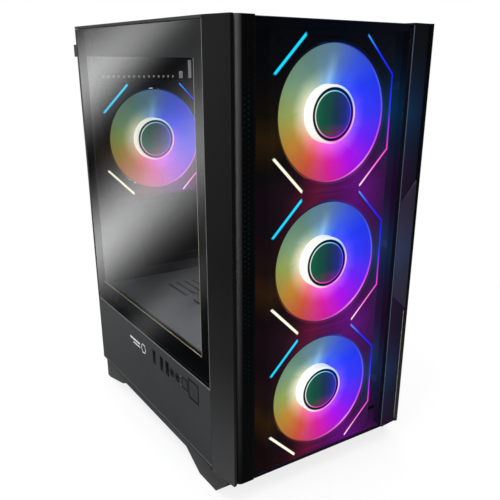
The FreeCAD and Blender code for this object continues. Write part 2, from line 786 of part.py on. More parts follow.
def make_controls():
    height = "control_height"
    inside = "sheet - case_width/2"
    board_side = "control_board_x - case_width/2"
    board = box((board_side, "control_board_front", f"{height} - 12"),
                (f"{board_side} + 1.6", "control_board_rear", f"{height} + 12"))
    bracket = box((f"{board_side} + 1.6", "control_board_front", f"{height} + 6"),
                  (f"{board_side} + 4", "control_board_rear", f"{height} + 12"))
    node(fuse([board, bracket]), "io_board")
    sockets = []
    for middle in USB_PLACES:
        shell = box(("0.2 - case_width/2", f"{middle} - usb_width/2", f"{height} - usb_tall/2"),
                    ("11.8 - case_width/2", f"{middle} + usb_width/2", f"{height} + usb_tall/2"))
        mouth = box(("-case_width/2 - 1", f"{middle} - usb_width/2 + 0.4", f"{height} - usb_tall/2 + 0.4"),
                    ("10.8 - case_width/2", f"{middle} + usb_width/2 - 0.4", f"{height} + usb_tall/2 - 0.4"))
        tongue = box(("1.4 - case_width/2", f"{middle} - usb_width/2 + 0.9", f"{height} - usb_tall/2 + 1.4"),
                     ("11 - case_width/2", f"{middle} - usb_width/2 + 2.7", f"{height} + usb_tall/2 - 1.4"))
        sockets.append(fuse([cut(shell, [mouth]), tongue]))
    node(group(sockets), "usb_sockets")
    jacks = []
    for index in range(2):
        middle = f"jack_y + {index}*jack_pitch"
        barrel = rod("X", ("0.2 - case_width/2", middle, height), "11.6", "3")
        bore = rod("X", ("-case_width/2 - 1", middle, height), "12", "1.8")
        jacks.append(cut(barrel, [bore]))
    node(group(jacks), "audio_jacks")
    lights = [
        rod("X", ("-case_width/2 + 0.1", "lamp_y", f"{height} + {side}*lamp_shift"), "11.7", "0.8")
        for side in (1, -1)
    ]
    node(group(lights), "status_lights")
    for name, size in (("power", "power_size"), ("reset", "reset_size")):
        middle = f"{name}_y"
        cap = box(("-case_width/2", f"{middle} - {size}/2", f"{height} - {size}/2"),
                  (f"{inside} + 3", f"{middle} + {size}/2", f"{height} + {size}/2"))
        flange = box((f"{inside} + 0.4", f"{middle} - {size}/2 - 1.2", f"{height} - {size}/2 - 1.2"),
                     (f"{inside} + 1.6", f"{middle} + {size}/2 + 1.2", f"{height} + {size}/2 + 1.2"))
        stem = rod("X", (f"{inside} + 3", middle, height), "5.5", "2")
        node(fuse([cap, flange, stem]), f"{name}_button")


# ---- contents ---------------------------------------------------------------

def make_motherboard():
    face = "board_x"
    board = box((face, "board_front", "board_base"),
                ("board_x + board_thick", "board_rear", "board_base + board_size"))
    holes = [rod("X", ("board_x - 1", y, z), "board_thick + 2", "1.6") for y, z in standoff_points()]
    bumps = []
    for y, z, long_y, long_z, tall in (
            ("cpu_y - 1", "cpu_height", 52, 52, 4),    # processor socket
            (-30, 306, 6, 130, 7),       # memory sockets
            (-18, 306, 6, 130, 7),
            (-60, 285, 10, 52, 11),      # main power socket
            (60, 174, 90, 8, 9),         # expansion sockets
            (60, 153, 60, 8, 9),
            (-35, 160, 34, 34, 9)):      # chipset heatsink
        bumps.append(box((f"board_x - {tall}", f"{y} - {long_y}/2", f"{z} - {long_z}/2"),
                         ("board_x + 0.5", f"{y} + {long_y}/2", f"{z} + {long_z}/2")))
    node(fuse([cut(board, holes)] + bumps), "motherboard")


def make_memory():
    sticks = [
        box(("board_x - 41", f"{y} - 3.2", "241"), ("board_x - 7", f"{y} + 3.2", "371"))
        for y in (-30, -18)
    ]
    node(group(sticks), "memory_modules")


def make_cooler():
    """Low heatsink of parallel fins over the processor, with a small fan on it."""
    half = "cooler_base/2"
    base = box(("board_x - 14", f"cpu_y - 1 - {half}", f"cpu_height - {half}"),
               ("board_x - 4.2", f"cpu_y - 1 + {half}", f"cpu_height + {half}"))
    fins = [
        box(("board_x - 34", "cpu_y - 43", f"cpu_height + {5 * index}"),
            ("board_x - 13", "cpu_y + 41", f"cpu_height + {5 * index} + 1.4"))
        for index in range(-8, 9)
    ]
    spine = box(("board_x - 30", "cpu_y - 15", "cpu_height - 40"),
                ("board_x - 13", "cpu_y + 13", "cpu_height + 41"))
    heatsink = fuse([base, spine] + fins)
    half = "cooler_fan_size/2"
    square = box(("board_x - 49", f"cpu_y - 1 - {half}", f"cpu_height - {half}"),
                 ("board_x - 34.2", f"cpu_y + 1 + {half}", f"cpu_height + {half}"))
    ring = cut(square, [rod("X", ("board_x - 50", "cpu_y", "cpu_height"), "17", "cooler_duct_radius")])
    arms = [
        box(("board_x - 37", "cpu_y - cooler_duct_radius", "cpu_height - 2"),
            ("board_x - 34.2", "cpu_y + cooler_duct_radius", "cpu_height + 2")),
        rod("X", ("board_x - 37", "cpu_y", "cpu_height"), "2.8", "14"),
        rod("X", ("board_x - 46", "cpu_y", "cpu_height"), "10", "1.5"),
    ]
    node(group([heatsink, fuse([ring] + arms)]), "cpu_cooler")
    shape = Part.makeCylinder(14, 9, Vector(0, 0, 0), Vector(1, 0, 0))
    for index in range(7):
        blade = Part.makeBox(1.4, 28.5, 15, Vector(3.8, 12.5, -7.5))
        blade.rotate(Vector(4.5, 0, 0), Vector(0, 1, 0), 28)
        blade.rotate(Vector(), Vector(1, 0, 0), 360.0 * index / 7)
        shape = shape.fuse(blade)
    tip = dim("cooler_duct_radius") - 1
    shape = shape.common(Part.makeCylinder(tip, 20, Vector(-2, 0, 0), Vector(1, 0, 0)))
    shape = shape.cut(Part.makeCylinder(1.55, 12, Vector(1.8, 0, 0), Vector(1, 0, 0)))
    shape.translate(Vector(dim("board_x") - 48, dim("cpu_y"), dim("cpu_height")))
    node(coded(shape), "cooler_rotor")


def make_rear_parts():
    """Input and output plate, its socket blocks, the blanking covers and the screws."""
    back = "rear_face - sheet"
    shield = box(("io_left + 0.2", back, "io_base + 0.2"),
                 ("io_left + io_width - 0.2", "rear_face", "io_base + io_height - 0.2"))
    blocks = []
    for low, high in ((8, 24), (30, 52), (56, 70), (74, 88), (94, 108), (116, 146)):
        blocks.append(box(("io_left + 8", f"{back} - 14", f"io_base + {low}"),
                          ("io_left + 40", "rear_face + 1", f"io_base + {high}")))
    node(fuse([shield] + blocks), "io_shield")
    covers = []
    for index in range(4):
        middle = f"slot_low + {index}*slot_pitch"
        cover = box(("slot_left + 0.2", back, f"{middle} - slot_width/2 + 0.2"),
                    ("slot_left + slot_length - 0.2", "rear_face", f"{middle} + slot_width/2 - 0.2"))
        holes = [
            rod("Y", (f"slot_left + {6 + 5.4 * step:.1f}", f"{back} - 1", middle), "3", "cover_hole_radius")
            for step in range(19)
        ]
        covers.append(cut(cover, holes))
    node(group(covers), "slot_covers")
    heads = []
    for x, z, _ in bolt_circles("rear_fan_x", "rear_fan_height", "fan_bolt_pitch", "fan_bolt_radius"):
        # the shank fills the screw hole and bites into the fan's corner
        heads.append(fuse([rod("Y", (x, "rear_face", z), "2.2", "3.6"),
                           rod("Y", (x, "rear_face - 9", z), "9.2", "fan_bolt_radius - shaft_clearance")]))
    for x, up in (("-69", 6), ("69", 6), ("-69", 80), ("45", 80)):
        heads.append(rod("Y", (x, "rear_face", f"psu_base + {up}"), "2", "3.2"))
    node(group(heads), "rear_screws")


def make_power_supply():
    setback = "rear_face - psu_fan_setback"
    inlet_height = "psu_base + inlet_height"
    low = ("-psu_width/2", "rear_face - psu_length", "psu_base")
    high = ("psu_width/2", "rear_face", "psu_base + psu_height")
    outer = box(low, high)
    inner = box(tuple(f"{text} + psu_shell" for text in low),
                tuple(f"{text} - psu_shell" for text in high))
    intake = rod("Z", ("0", setback, "psu_base - 1"), "3", "psu_fan_radius + 1")
    inlet = box(("inlet_x - 14", "rear_face - 3", f"{inlet_height} - 11"),
                ("inlet_x + 14", "rear_face + 1", f"{inlet_height} + 11"))
    switch = box(("35", "rear_face - 3", "psu_base + switch_height - 7"),
                 ("57", "rear_face + 1", "psu_base + switch_height + 7"))
    vents = [
        box((f"{x} - 1.8", "rear_face - 3", f"psu_base + {z} - 9"),
            (f"{x} + 1.8", "rear_face + 1", f"psu_base + {z} + 9"))
        for x in range(-60, 26, 6)
        for z in (18, 42, 66)
    ]
    shell = cut(outer, [inner, intake, inlet, switch] + vents)
    bridge = [
        box(("-psu_fan_radius - 2", f"{setback} - 3", "psu_base + 18"),
            ("psu_fan_radius + 2", f"{setback} + 3", "psu_base + 20")),
        box(("-psu_fan_radius - 5", f"{setback} - 3", "psu_base + 1"),
            ("-psu_fan_radius - 2", f"{setback} + 3", "psu_base + 20")),
        box(("psu_fan_radius + 2", f"{setback} - 3", "psu_base + 1"),
            ("psu_fan_radius + 5", f"{setback} + 3", "psu_base + 20")),
        rod("Z", ("0", setback, "psu_base + 4"), "14.5", "2"),
    ]
    node(fuse([shell] + bridge), "psu_case")
    shape = Part.makeCylinder(19, 14, Vector(0, 0, 0), Vector(0, 0, 1))
    for index in range(9):
        blade = Part.makeBox(38, 18, 1.4, Vector(17, -9, 6.3))
        blade.rotate(Vector(0, 0, 7), Vector(1, 0, 0), 30)
        blade.rotate(Vector(), Vector(0, 0, 1), 360.0 * index / 9)
        shape = shape.fuse(blade)
    shape = shape.common(Part.makeCylinder(dim("psu_fan_radius") - 1, 30, Vector(0, 0, -5), Vector(0, 0, 1)))
    shape = shape.cut(Part.makeCylinder(2.05, 14, Vector(0, 0, 1.5), Vector(0, 0, 1)))
    shape.translate(Vector(0, dim("rear_face") - dim("psu_fan_setback"), dim("psu_base") + 2.4))
    node(coded(shape), "psu_rotor")
    body = box(("inlet_x - 13.8", "rear_face - 19", f"{inlet_height} - 10.8"),
               ("inlet_x + 13.8", "rear_face + 1", f"{inlet_height} + 10.8"))
    socket = box(("inlet_x - 12", "rear_face - 16", f"{inlet_height} - 8"),
                 ("inlet_x + 12", "rear_face + 2", f"{inlet_height} + 8"))
    pins = [
        box((f"inlet_x + {side} - 1", "rear_face - 17", f"{inlet_height} + {up} - 2"),
            (f"inlet_x + {side} + 1", "rear_face - 4", f"{inlet_height} + {up} + 2"))
        for side, up in ((-7, -2), (0, 2), (7, -2))
    ]
    inlet_block = fuse([cut(body, [socket])] + pins)
    rocker_profile = Part.makePolygon([
        Vector(38.2, 2.6, 4.9), Vector(38.2, 0.6, 0.0), Vector(38.2, 0.9, -4.9),
        Vector(38.2, -3.5, -4.4), Vector(38.2, -3.5, 4.4), Vector(38.2, 2.6, 4.9)])
    rocker = Part.Face(rocker_profile).extrude(Vector(15.6, 0, 0))
    rocker = rocker.cut(Part.makeCylinder(1.05, 20, Vector(37, -1.5, 0), Vector(1, 0, 0)))
    rocker.translate(Vector(0, dim("rear_face"), dim("psu_base") + dim("switch_height")))
    node(coded(rocker), "psu_switch")
    switch_height = "psu_base + switch_height"
    well = box(("35.2", "rear_face - 8", f"{switch_height} - 6.8"),
               ("56.8", "rear_face + 1", f"{switch_height} + 6.8"))
    hole = box(("37.4", "rear_face - 6.5", f"{switch_height} - 6.2"),
               ("54.6", "rear_face + 2", f"{switch_height} + 6.2"))
    pin = rod("X", ("36", "rear_face - 1.5", switch_height), "20", "1")
    node(group([inlet_block, fuse([cut(well, [hole]), pin])]), "mains_inlet")


def main():
    make_floor()
    make_front_wall()
    make_rear_panel()
    make_roof()
    make_tray()
    make_standoffs()
    make_shroud()
    make_window_frame()
    make_lower_side_panel()
    make_window()
    make_right_panel()
    make_front_panel()
    make_filters()
    make_fans()
    make_skirt()
    make_controls()
    make_motherboard()
    make_memory()
    make_cooler()
    make_rear_parts()
    make_power_supply()
    doc.recompute()

    for thing in doc.Objects:
        if "Invalid" in thing.State or "Error" in thing.State:
            raise RuntimeError(f"{thing.Label} failed: {thing.State}")
    faulty = [thing.Label for thing in finished if thing.Shape.isNull() or not thing.Shape.isValid()]
    if faulty:
        raise RuntimeError(f"no valid shape: {faulty}")

    os.makedirs("parts", exist_ok=True)
    for thing in finished:
        thing.Shape.exportStep(f"parts/{thing.Label}.step")
        room = thing.Shape.BoundBox
        print(f"{thing.Label:26s} solids {len(thing.Shape.Solids):3d}  volume {thing.Shape.Volume:10.0f}"
              f"  x {room.XMin:7.1f} {room.XMax:7.1f}  y {room.YMin:7.1f} {room.YMax:7.1f}"
              f"  z {room.ZMin:6.1f} {room.ZMax:6.1f}")
    print(len(finished), "nodes")


main()
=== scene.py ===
"""Looks for the desktop computer tower: finishes, lit fans, rounded mouldings, small parts and studio."""

import bmesh
import bpy
import math

from mathutils import Matrix, Vector


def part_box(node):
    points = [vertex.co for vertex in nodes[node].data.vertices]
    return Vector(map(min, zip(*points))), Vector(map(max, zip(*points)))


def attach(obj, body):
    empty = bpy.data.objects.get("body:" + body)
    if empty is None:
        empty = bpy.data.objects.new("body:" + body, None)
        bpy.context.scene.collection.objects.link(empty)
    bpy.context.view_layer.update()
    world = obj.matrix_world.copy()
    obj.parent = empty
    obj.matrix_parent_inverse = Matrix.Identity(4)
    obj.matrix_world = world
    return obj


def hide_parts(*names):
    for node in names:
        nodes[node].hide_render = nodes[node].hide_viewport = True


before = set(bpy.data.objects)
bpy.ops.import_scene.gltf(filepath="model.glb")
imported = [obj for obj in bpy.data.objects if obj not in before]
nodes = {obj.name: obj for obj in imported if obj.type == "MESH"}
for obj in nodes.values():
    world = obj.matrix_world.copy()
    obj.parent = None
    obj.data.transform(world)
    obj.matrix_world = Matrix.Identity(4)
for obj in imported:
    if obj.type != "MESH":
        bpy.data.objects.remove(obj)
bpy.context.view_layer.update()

WINDOW_SIDE = -0.1005        # skin of the window side, for marks that belong only there
PANEL_LEVEL = 0.0834         # height of the row of buttons and sockets on the side panel
THIN_LINE = 0.0006           # width of the painted highlight lines along the edges
OFF = (0.0, 0.0, 0.0, 1.0)
ON = (1.0, 1.0, 1.0, 1.0)


# ---- colour and node helpers ------------------------------------------------

def colour(red, green, blue):
    """A display colour, 0 to 255 a channel, as the linear value that shaders take."""
    def linear(value):
        share = value / 255
        return share / 12.92 if share <= 0.04045 else ((share + 0.055) / 1.055) ** 2.4
    return (linear(red), linear(green), linear(blue), 1.0)


def grey(level):
    """A linear grey, for ramps that carry an amount and not a colour."""
    return (level, level, level, 1.0)


class Tree:
    """A material's node tree, with short names for the nodes used here."""

    def __init__(self, name):
        self.material = bpy.data.materials.new(name)
        self.material.use_nodes = True
        self.tree = self.material.node_tree
        self.tree.nodes.clear()
        self.output = self.add("ShaderNodeOutputMaterial")

    def add(self, kind, **settings):
        node = self.tree.nodes.new(kind)
        for key, value in settings.items():
            setattr(node, key, value)
        return node

    def link(self, source, target):
        self.tree.links.new(source, target)

    def put(self, socket, value):
        """Set a socket to a plain value, or join another socket to it."""
        if isinstance(value, bpy.types.NodeSocket):
            self.link(value, socket)
        else:
            socket.default_value = value

    def math(self, operation, *values, clamp=False):
        node = self.add("ShaderNodeMath", operation=operation, use_clamp=clamp)
        for socket, value in zip(node.inputs, values):
            self.put(socket, value)
        return node.outputs[0]

    def place(self):
        """The point's place in the object's own frame."""
        return self.add("ShaderNodeTexCoord").outputs["Object"]

    def axes(self, vector):
        node = self.add("ShaderNodeSeparateXYZ")
        self.link(vector, node.inputs[0])
        return node.outputs

    def noise(self, scale, detail=2.0):
        node = self.add("ShaderNodeTexNoise")
        node.inputs["Scale"].default_value = scale
        node.inputs["Detail"].default_value = detail
        self.link(self.place(), node.inputs["Vector"])
        return node.outputs["Fac"]

    def ramp(self, factor, stops, smooth="LINEAR"):
        node = self.add("ShaderNodeValToRGB")
        node.color_ramp.interpolation = smooth
        marks = node.color_ramp.elements
        while len(marks) < len(stops):
            marks.new(0.5)
        for mark, (position, tint) in zip(marks, stops):
            mark.position = position
            mark.color = tint
        self.put(node.inputs[0], factor)
        return node.outputs["Color"]

    def span(self, value, low, high, start=0.0, end=1.0):
        """Map a range of value onto another range, held at both ends."""
        node = self.add("ShaderNodeMapRange")
        for socket, number in zip(node.inputs, (value, low, high, start, end)):
            self.put(socket, number)
        return node.outputs[0]

    def blend(self, factor, first, second, kind="MIX"):
        node = self.add("ShaderNodeMix", data_type="RGBA", blend_type=kind)
        self.put(node.inputs[0], factor)
        self.put(node.inputs[6], first)
        self.put(node.inputs[7], second)
        return node.outputs[2]

    def bump(self, height, distance):
        node = self.add("ShaderNodeBump")
        node.inputs["Strength"].default_value = 1.0
        node.inputs["Distance"].default_value = distance
        self.link(height, node.inputs["Height"])
        return node.outputs["Normal"]

    def principled(self, **values):
        node = self.add("ShaderNodeBsdfPrincipled")
        for key, value in values.items():
            self.put(node.inputs[key.replace("_", " ")], value)
        return node

    def surface(self, **values):
        """Finish the material as one plain surface."""
        return self.finish(self.principled(**values).outputs[0])

    def mix_shaders(self, factor, first, second):
        node = self.add("ShaderNodeMixShader")
        self.put(node.inputs[0], factor)
        self.link(first, node.inputs[1])
        self.link(second, node.inputs[2])
        return node.outputs[0]

    def finish(self, shader):
        self.link(shader, self.output.inputs["Surface"])
        return self.material


# ---- finishes ---------------------------------------------------------------

def moulded(name, dark, light, rough=0.5, grain=900.0, depth=0.00004, metallic=0.0, coat=0.0):
    """A grained surface: slow colour drift, fine grain in the bump, uneven roughness."""
    tree = Tree(name)
    drift = tree.noise(14.0, 3.0)
    fine = tree.noise(grain, 2.0)
    tint = tree.ramp(drift, [(0.3, dark), (0.7, light)])
    roughness = tree.span(fine, 0.3, 0.7, rough - 0.06, rough + 0.06)
    return tree.surface(Base_Color=tint, Roughness=roughness, Metallic=metallic, Coat_Weight=coat,
                        Normal=tree.bump(fine, depth))


def clear_glass(name, tint, reach=1.0, floor=0.04):
    """Tinted pane: what is behind shows through, and it mirrors more at a low angle."""
    tree = Tree(name)
    clouds = tree.noise(3.0, 2.0)
    through = tree.add("ShaderNodeBsdfTransparent")
    dim_tint = tuple(channel * 0.97 for channel in tint[:3]) + (1.0,)
    tree.link(tree.ramp(clouds, [(0.3, dim_tint), (0.7, tint)]), through.inputs["Color"])
    mirror = tree.add("ShaderNodeBsdfGlossy")
    mirror.inputs["Roughness"].default_value = 0.02
    mirror.inputs["Color"].default_value = (reach, reach, reach, 1.0)
    slant = tree.add("ShaderNodeLayerWeight")
    slant.inputs["Blend"].default_value = 0.5
    gloss = tree.math("MULTIPLY_ADD", tree.math("POWER", slant.outputs["Facing"], 5.0), 1.0 - floor, floor)
    return tree.finish(tree.mix_shaders(gloss, through.outputs[0], mirror.outputs[0]))


def wheel(tree, centre):
    """Angle (0 to 1 round from +X) and radius in metres about a centre, in an upright plane."""
    x, y, z = tree.axes(tree.place())[:3]
    across = tree.math("SUBTRACT", x, centre.x)
    up = tree.math("SUBTRACT", z, centre.z)
    angle = tree.math("ARCTAN2", up, across)
    turn = tree.math("FRACT", tree.math("ADD", tree.math("DIVIDE", angle, 2 * math.pi), 1.0))
    radius = tree.math("SQRT", tree.math("ADD", tree.math("MULTIPLY", across, across),
                                         tree.math("MULTIPLY", up, up)))
    return turn, radius


# the rainbow round a lit fan, anticlockwise from the right
RAINBOW = [
    (0.00, colour(58, 56, 252)),
    (0.09, colour(38, 62, 250)),
    (0.17, colour(62, 92, 225)),
    (0.25, colour(98, 134, 166)),
    (0.34, colour(100, 138, 126)),
    (0.42, colour(124, 158, 122)),
    (0.50, colour(150, 164, 84)),
    (0.58, colour(190, 138, 52)),
    (0.67, colour(208, 84, 62)),
    (0.75, colour(222, 36, 158)),
    (0.83, colour(184, 18, 236)),
    (0.92, colour(112, 34, 252)),
    (1.00, colour(58, 56, 252)),
]


FAN_NODES = ["front_fan_rotor_top", "front_fan_rotor_middle", "front_fan_rotor_bottom"]

# light that a lit fan throws on the parts beside it, anticlockwise from the right
SPILL = [
    (0.000, colour(12, 56, 96)),
    (0.050, colour(15, 36, 62)),
    (0.085, colour(13, 22, 34)),
    (0.140, colour(10, 12, 20)),
    (0.250, colour(4, 7, 16)),
    (0.420, colour(7, 8, 12)),
    (0.500, colour(20, 16, 9)),
    (0.545, colour(42, 28, 7)),
    (0.600, colour(12, 8, 7)),
    (0.655, colour(34, 12, 20)),
    (0.710, colour(98, 19, 52)),
    (0.770, colour(84, 14, 88)),
    (0.830, colour(106, 12, 132)),
    (0.885, colour(66, 17, 80)),
    (0.950, colour(22, 40, 74)),
    (1.000, colour(12, 56, 96)),
]


def spill(tree, centres, strength=1.0, reach=0.028):
    """Sum of the coloured light from each fan, fading with distance from its rim."""
    total = OFF
    for centre in centres:
        turn, radius = wheel(tree, centre)
        beyond = tree.math("DIVIDE", tree.math("SUBTRACT", 0.066, radius), reach)
        fade = tree.math("MULTIPLY", tree.math("EXPONENT", beyond), strength)
        near = tree.math("MINIMUM", fade, 1.3 * strength)
        part = tree.blend(1.0, tree.ramp(turn, SPILL), tree.blend(near, OFF, ON), "MULTIPLY")
        total = tree.blend(1.0, total, part, "ADD")
    return total


def lit_black(name, centres, dark, light, rough=0.5, strength=1.0, reach=0.028):
    """Black moulding that catches the fans' coloured light."""
    tree = Tree(name)
    tint = tree.ramp(tree.noise(14.0, 3.0), [(0.3, dark), (0.7, light)])
    fine = tree.noise(1500.0, 2.0)
    return tree.surface(Base_Color=tint, Roughness=tree.span(fine, 0.3, 0.7, rough - 0.05, rough + 0.05),
                        Normal=tree.bump(fine, 0.00002), Specular_IOR_Level=0.25,
                        Emission_Color=spill(tree, centres, strength, reach), Emission_Strength=1.0)


def painted_height_shade(name, stops, rough, gloss=0.5):
    """A moulding darker or lighter by height, as painted light and shade: stops are (height in metres, tint).
    """
    tree = Tree(name)
    z = tree.axes(tree.place())[2]
    fine = tree.noise(1500.0, 2.0)
    drift = tree.span(tree.noise(12.0, 2.0), 0.3, 0.7, -0.012, 0.012)
    up = tree.math("DIVIDE", tree.math("ADD", z, drift), 0.4)
    tint = tree.ramp(up, [(height / 0.4, shade) for height, shade in stops])
    return tree.surface(Base_Color=tint, Roughness=tree.span(fine, 0.3, 0.7, rough - 0.05, rough + 0.05),
                        Normal=tree.bump(fine, 0.00002), Specular_IOR_Level=gloss)


# colours beside the hub, where the lamps are
NEAR_HUB = [
    (0.000, colour(150, 108, 250)),
    (0.083, colour(88, 84, 252)),
    (0.167, colour(56, 98, 250)),
    (0.250, colour(122, 178, 240)),
    (0.333, colour(180, 206, 180)),
    (0.417, colour(236, 234, 196)),
    (0.500, colour(240, 232, 212)),
    (0.583, colour(246, 198, 160)),
    (0.667, colour(255, 128, 164)),
    (0.750, colour(250, 112, 240)),
    (0.833, colour(238, 116, 255)),
    (0.917, colour(180, 128, 238)),
    (1.000, colour(150, 108, 250)),
]


def glowing_blades(name, centre, strength):
    """Frosted lit blades: rainbow by angle, paler beside the hub, dimmer at the tips."""
    tree = Tree(name)
    turn, radius = wheel(tree, centre)
    hue = tree.ramp(turn, RAINBOW)
    near = tree.math("POWER", tree.span(radius, 0.0215, 0.0375, 1.0, 0.0), 1.5)
    glow = tree.blend(near, hue, tree.ramp(turn, NEAR_HUB))
    streak = tree.math("MULTIPLY", tree.ramp(turn, [(0.0, OFF), (0.222, OFF), (0.248, ON), (0.275, OFF)]),
                       tree.span(radius, 0.024, 0.046, 0.5, 0.0))
    glow = tree.blend(streak, glow, colour(160, 210, 255))
    fall = tree.span(radius, 0.030, 0.052, 1.0, 0.80)
    cloud = tree.span(tree.noise(60.0, 2.0), 0.3, 0.7, 0.96, 1.04)
    power = tree.math("MULTIPLY", tree.math("MULTIPLY", fall, cloud), strength)
    return tree.surface(Base_Color=colour(14, 14, 16), Roughness=0.6, Specular_IOR_Level=0.1,
                        Emission_Color=glow, Emission_Strength=power)


RING = [
    (0.00, colour(255, 190, 255)),
    (0.10, colour(150, 200, 255)),
    (0.25, colour(240, 252, 255)),
    (0.50, colour(255, 255, 250)),
    (0.66, colour(255, 235, 235)),
    (0.78, colour(255, 120, 235)),
    (0.92, colour(255, 160, 250)),
    (1.00, colour(255, 190, 255)),
]
INNER_RING = [
    (0.00, colour(96, 84, 250)),
    (0.12, colour(70, 130, 255)),
    (0.24, colour(120, 225, 255)),
    (0.38, colour(225, 255, 245)),
    (0.55, colour(255, 225, 240)),
    (0.68, colour(250, 80, 200)),
    (0.80, colour(225, 50, 235)),
    (0.92, colour(150, 60, 250)),
    (1.00, colour(96, 84, 250)),
]


def glowing_hub(name, centre, size):
    """The hub cap: bright rings with a dark groove between them, and a dim green to blue middle."""
    tree = Tree(name)
    turn, radius = wheel(tree, centre)
    reach = tree.math("DIVIDE", radius, size)
    x, y, z = tree.axes(tree.place())[:3]
    across = tree.span(x, centre.x - size * 0.75, centre.x + size * 0.75)
    middle = tree.ramp(across, [(0.0, colour(20, 94, 64)), (0.35, colour(24, 76, 66)),
                                (0.60, colour(30, 56, 84)), (0.82, colour(34, 46, 122)),
                                (1.0, colour(46, 50, 170))], "EASE")
    low = tree.span(z, centre.z - size * 0.30, centre.z - size * 0.75)
    middle = tree.blend(tree.math("MULTIPLY", low, 0.75), middle,
                        tree.ramp(across, [(0.2, colour(70, 76, 40)), (0.55, colour(120, 30, 96)),
                                           (0.9, colour(110, 40, 170))]))
    inner_ring = tree.ramp(reach, [(0.0, OFF), (0.765, OFF), (0.775, ON), (0.800, ON), (0.812, OFF)])
    outer_ring = tree.ramp(reach, [(0.0, OFF), (0.905, OFF), (0.920, ON), (1.0, ON)])
    groove = tree.ramp(reach, [(0.0, OFF), (0.805, OFF), (0.815, ON), (0.905, ON), (0.920, OFF)])
    dark = tree.ramp(across, [(0.0, colour(8, 40, 22)), (0.5, colour(12, 16, 34)), (1.0, colour(12, 10, 72))])
    glow = tree.blend(groove, middle, dark)
    glow = tree.blend(inner_ring, glow, tree.ramp(turn, INNER_RING))
    glow = tree.blend(outer_ring, glow, tree.ramp(turn, RING))
    return tree.surface(Base_Color=colour(16, 16, 18), Roughness=0.4, Specular_IOR_Level=0.2,
                        Emission_Color=glow, Emission_Strength=tree.span(reach, 0.0, 1.0, 1.15, 1.4))


def hot_wall(name, centre):
    """Side wall of the hub, lit white by the lamps at its foot."""
    tree = Tree(name)
    turn, radius = wheel(tree, centre)
    hue = tree.ramp(turn, RAINBOW)
    white = tree.ramp(turn, [(0.0, grey(0.2)), (0.2, grey(0.5)), (0.35, grey(0.92)),
                             (0.58, grey(0.95)), (0.68, grey(0.6)), (1.0, grey(0.2))])
    glow = tree.blend(white, hue, colour(255, 252, 240))
    return tree.surface(Base_Color=colour(60, 60, 60), Roughness=0.4, Emission_Color=glow,
                        Emission_Strength=tree.span(tree.noise(40.0), 0.3, 0.7, 1.5, 1.6))


def rim_line(name, centre):
    """Tip ring: blue to pink on the right, dark on the upper left."""
    tree = Tree(name)
    turn, radius = wheel(tree, centre)
    glow = tree.ramp(turn, [
        (0.00, colour(120, 90, 255)), (0.06, colour(74, 100, 255)), (0.20, colour(30, 50, 150)),
        (0.30, colour(12, 26, 34)), (0.48, colour(24, 26, 14)), (0.60, colour(90, 60, 24)),
        (0.70, colour(150, 50, 60)), (0.78, colour(220, 90, 190)), (0.86, colour(255, 150, 250)),
        (0.93, colour(235, 70, 245)), (1.00, colour(120, 90, 255)),
    ])
    return tree.surface(Base_Color=colour(14, 14, 16), Roughness=0.5, Emission_Color=glow,
                        Emission_Strength=tree.span(tree.noise(50.0), 0.3, 0.7, 1.1, 1.25))


# turns at which the eight-sided light guide is lit, its colours, and how strongly
GUIDE = [
    (0.000, colour(60, 40, 255), 1.0),
    (0.050, colour(20, 34, 255), 1.0),
    (0.076, colour(16, 26, 240), 1.0),
    (0.135, colour(22, 50, 250), 1.0),
    (0.1738, colour(50, 150, 255), 1.0),
    (0.1750, colour(60, 160, 255), 0.0),
    (0.3250, colour(10, 190, 255), 0.0),
    (0.3262, colour(20, 212, 255), 1.0),
    (0.4238, colour(16, 205, 255), 1.0),
    (0.4250, colour(10, 190, 255), 0.0),
    (0.5750, colour(250, 250, 220), 0.0),
    (0.5762, colour(255, 255, 225), 1.0),
    (0.6738, colour(255, 252, 214), 1.0),
    (0.6750, colour(255, 250, 205), 0.0),
    (0.8250, colour(255, 240, 220), 0.0),
    (0.8262, colour(255, 236, 224), 1.0),
    (0.868, colour(255, 130, 220), 1.0),
    (0.921, colour(255, 60, 205), 1.0),
    (0.955, colour(190, 30, 230), 1.0),
]


def light_guide(name, centre, lights):
    """Clear light guide, lit along five of its eight sides; the right-hand sides show a thinner line."""
    tree = Tree(name)
    turn, radius = wheel(tree, centre)
    hue = tree.ramp(turn, [(place, tint) for place, tint, on in GUIDE] + [(1.0, GUIDE[0][1])])
    lit = tree.ramp(turn, [(place, grey(on)) for place, tint, on in GUIDE] + [(1.0, ON)])
    x, y, z = tree.axes(tree.place())[:3]
    across = tree.math("ABSOLUTE", tree.math("SUBTRACT", x, centre.x))
    up = tree.math("ABSOLUTE", tree.math("SUBTRACT", z, centre.z))
    # distance out to the side of the octagon, on the scale of its flat sides
    slant = tree.math("MULTIPLY", tree.math("ADD", across, up), 0.0590 / 0.0890)
    out = tree.math("MAXIMUM", tree.math("MAXIMUM", across, up), slant)
    right = tree.math("GREATER_THAN", x, centre.x)
    start = tree.math("MULTIPLY_ADD", right, 0.0011, 0.0560)
    width = tree.math("MULTIPLY_ADD", right, -0.0009, 0.0026)
    along = tree.math("DIVIDE", tree.math("SUBTRACT", out, start), width)
    half = grey(0.55)
    line = tree.ramp(along, [(0.0, OFF), (0.10, half), (0.35, ON), (0.70, ON), (0.90, half), (1.0, OFF)])
    share = tree.math("MULTIPLY", lit, line)
    return tree.surface(Base_Color=colour(10, 10, 12), Roughness=0.4, Specular_IOR_Level=0.2,
                        Emission_Color=tree.blend(share, spill(tree, lights, 0.75), hue),
                        Emission_Strength=tree.span(share, 0.0, 1.0, 1.3, 1.75))


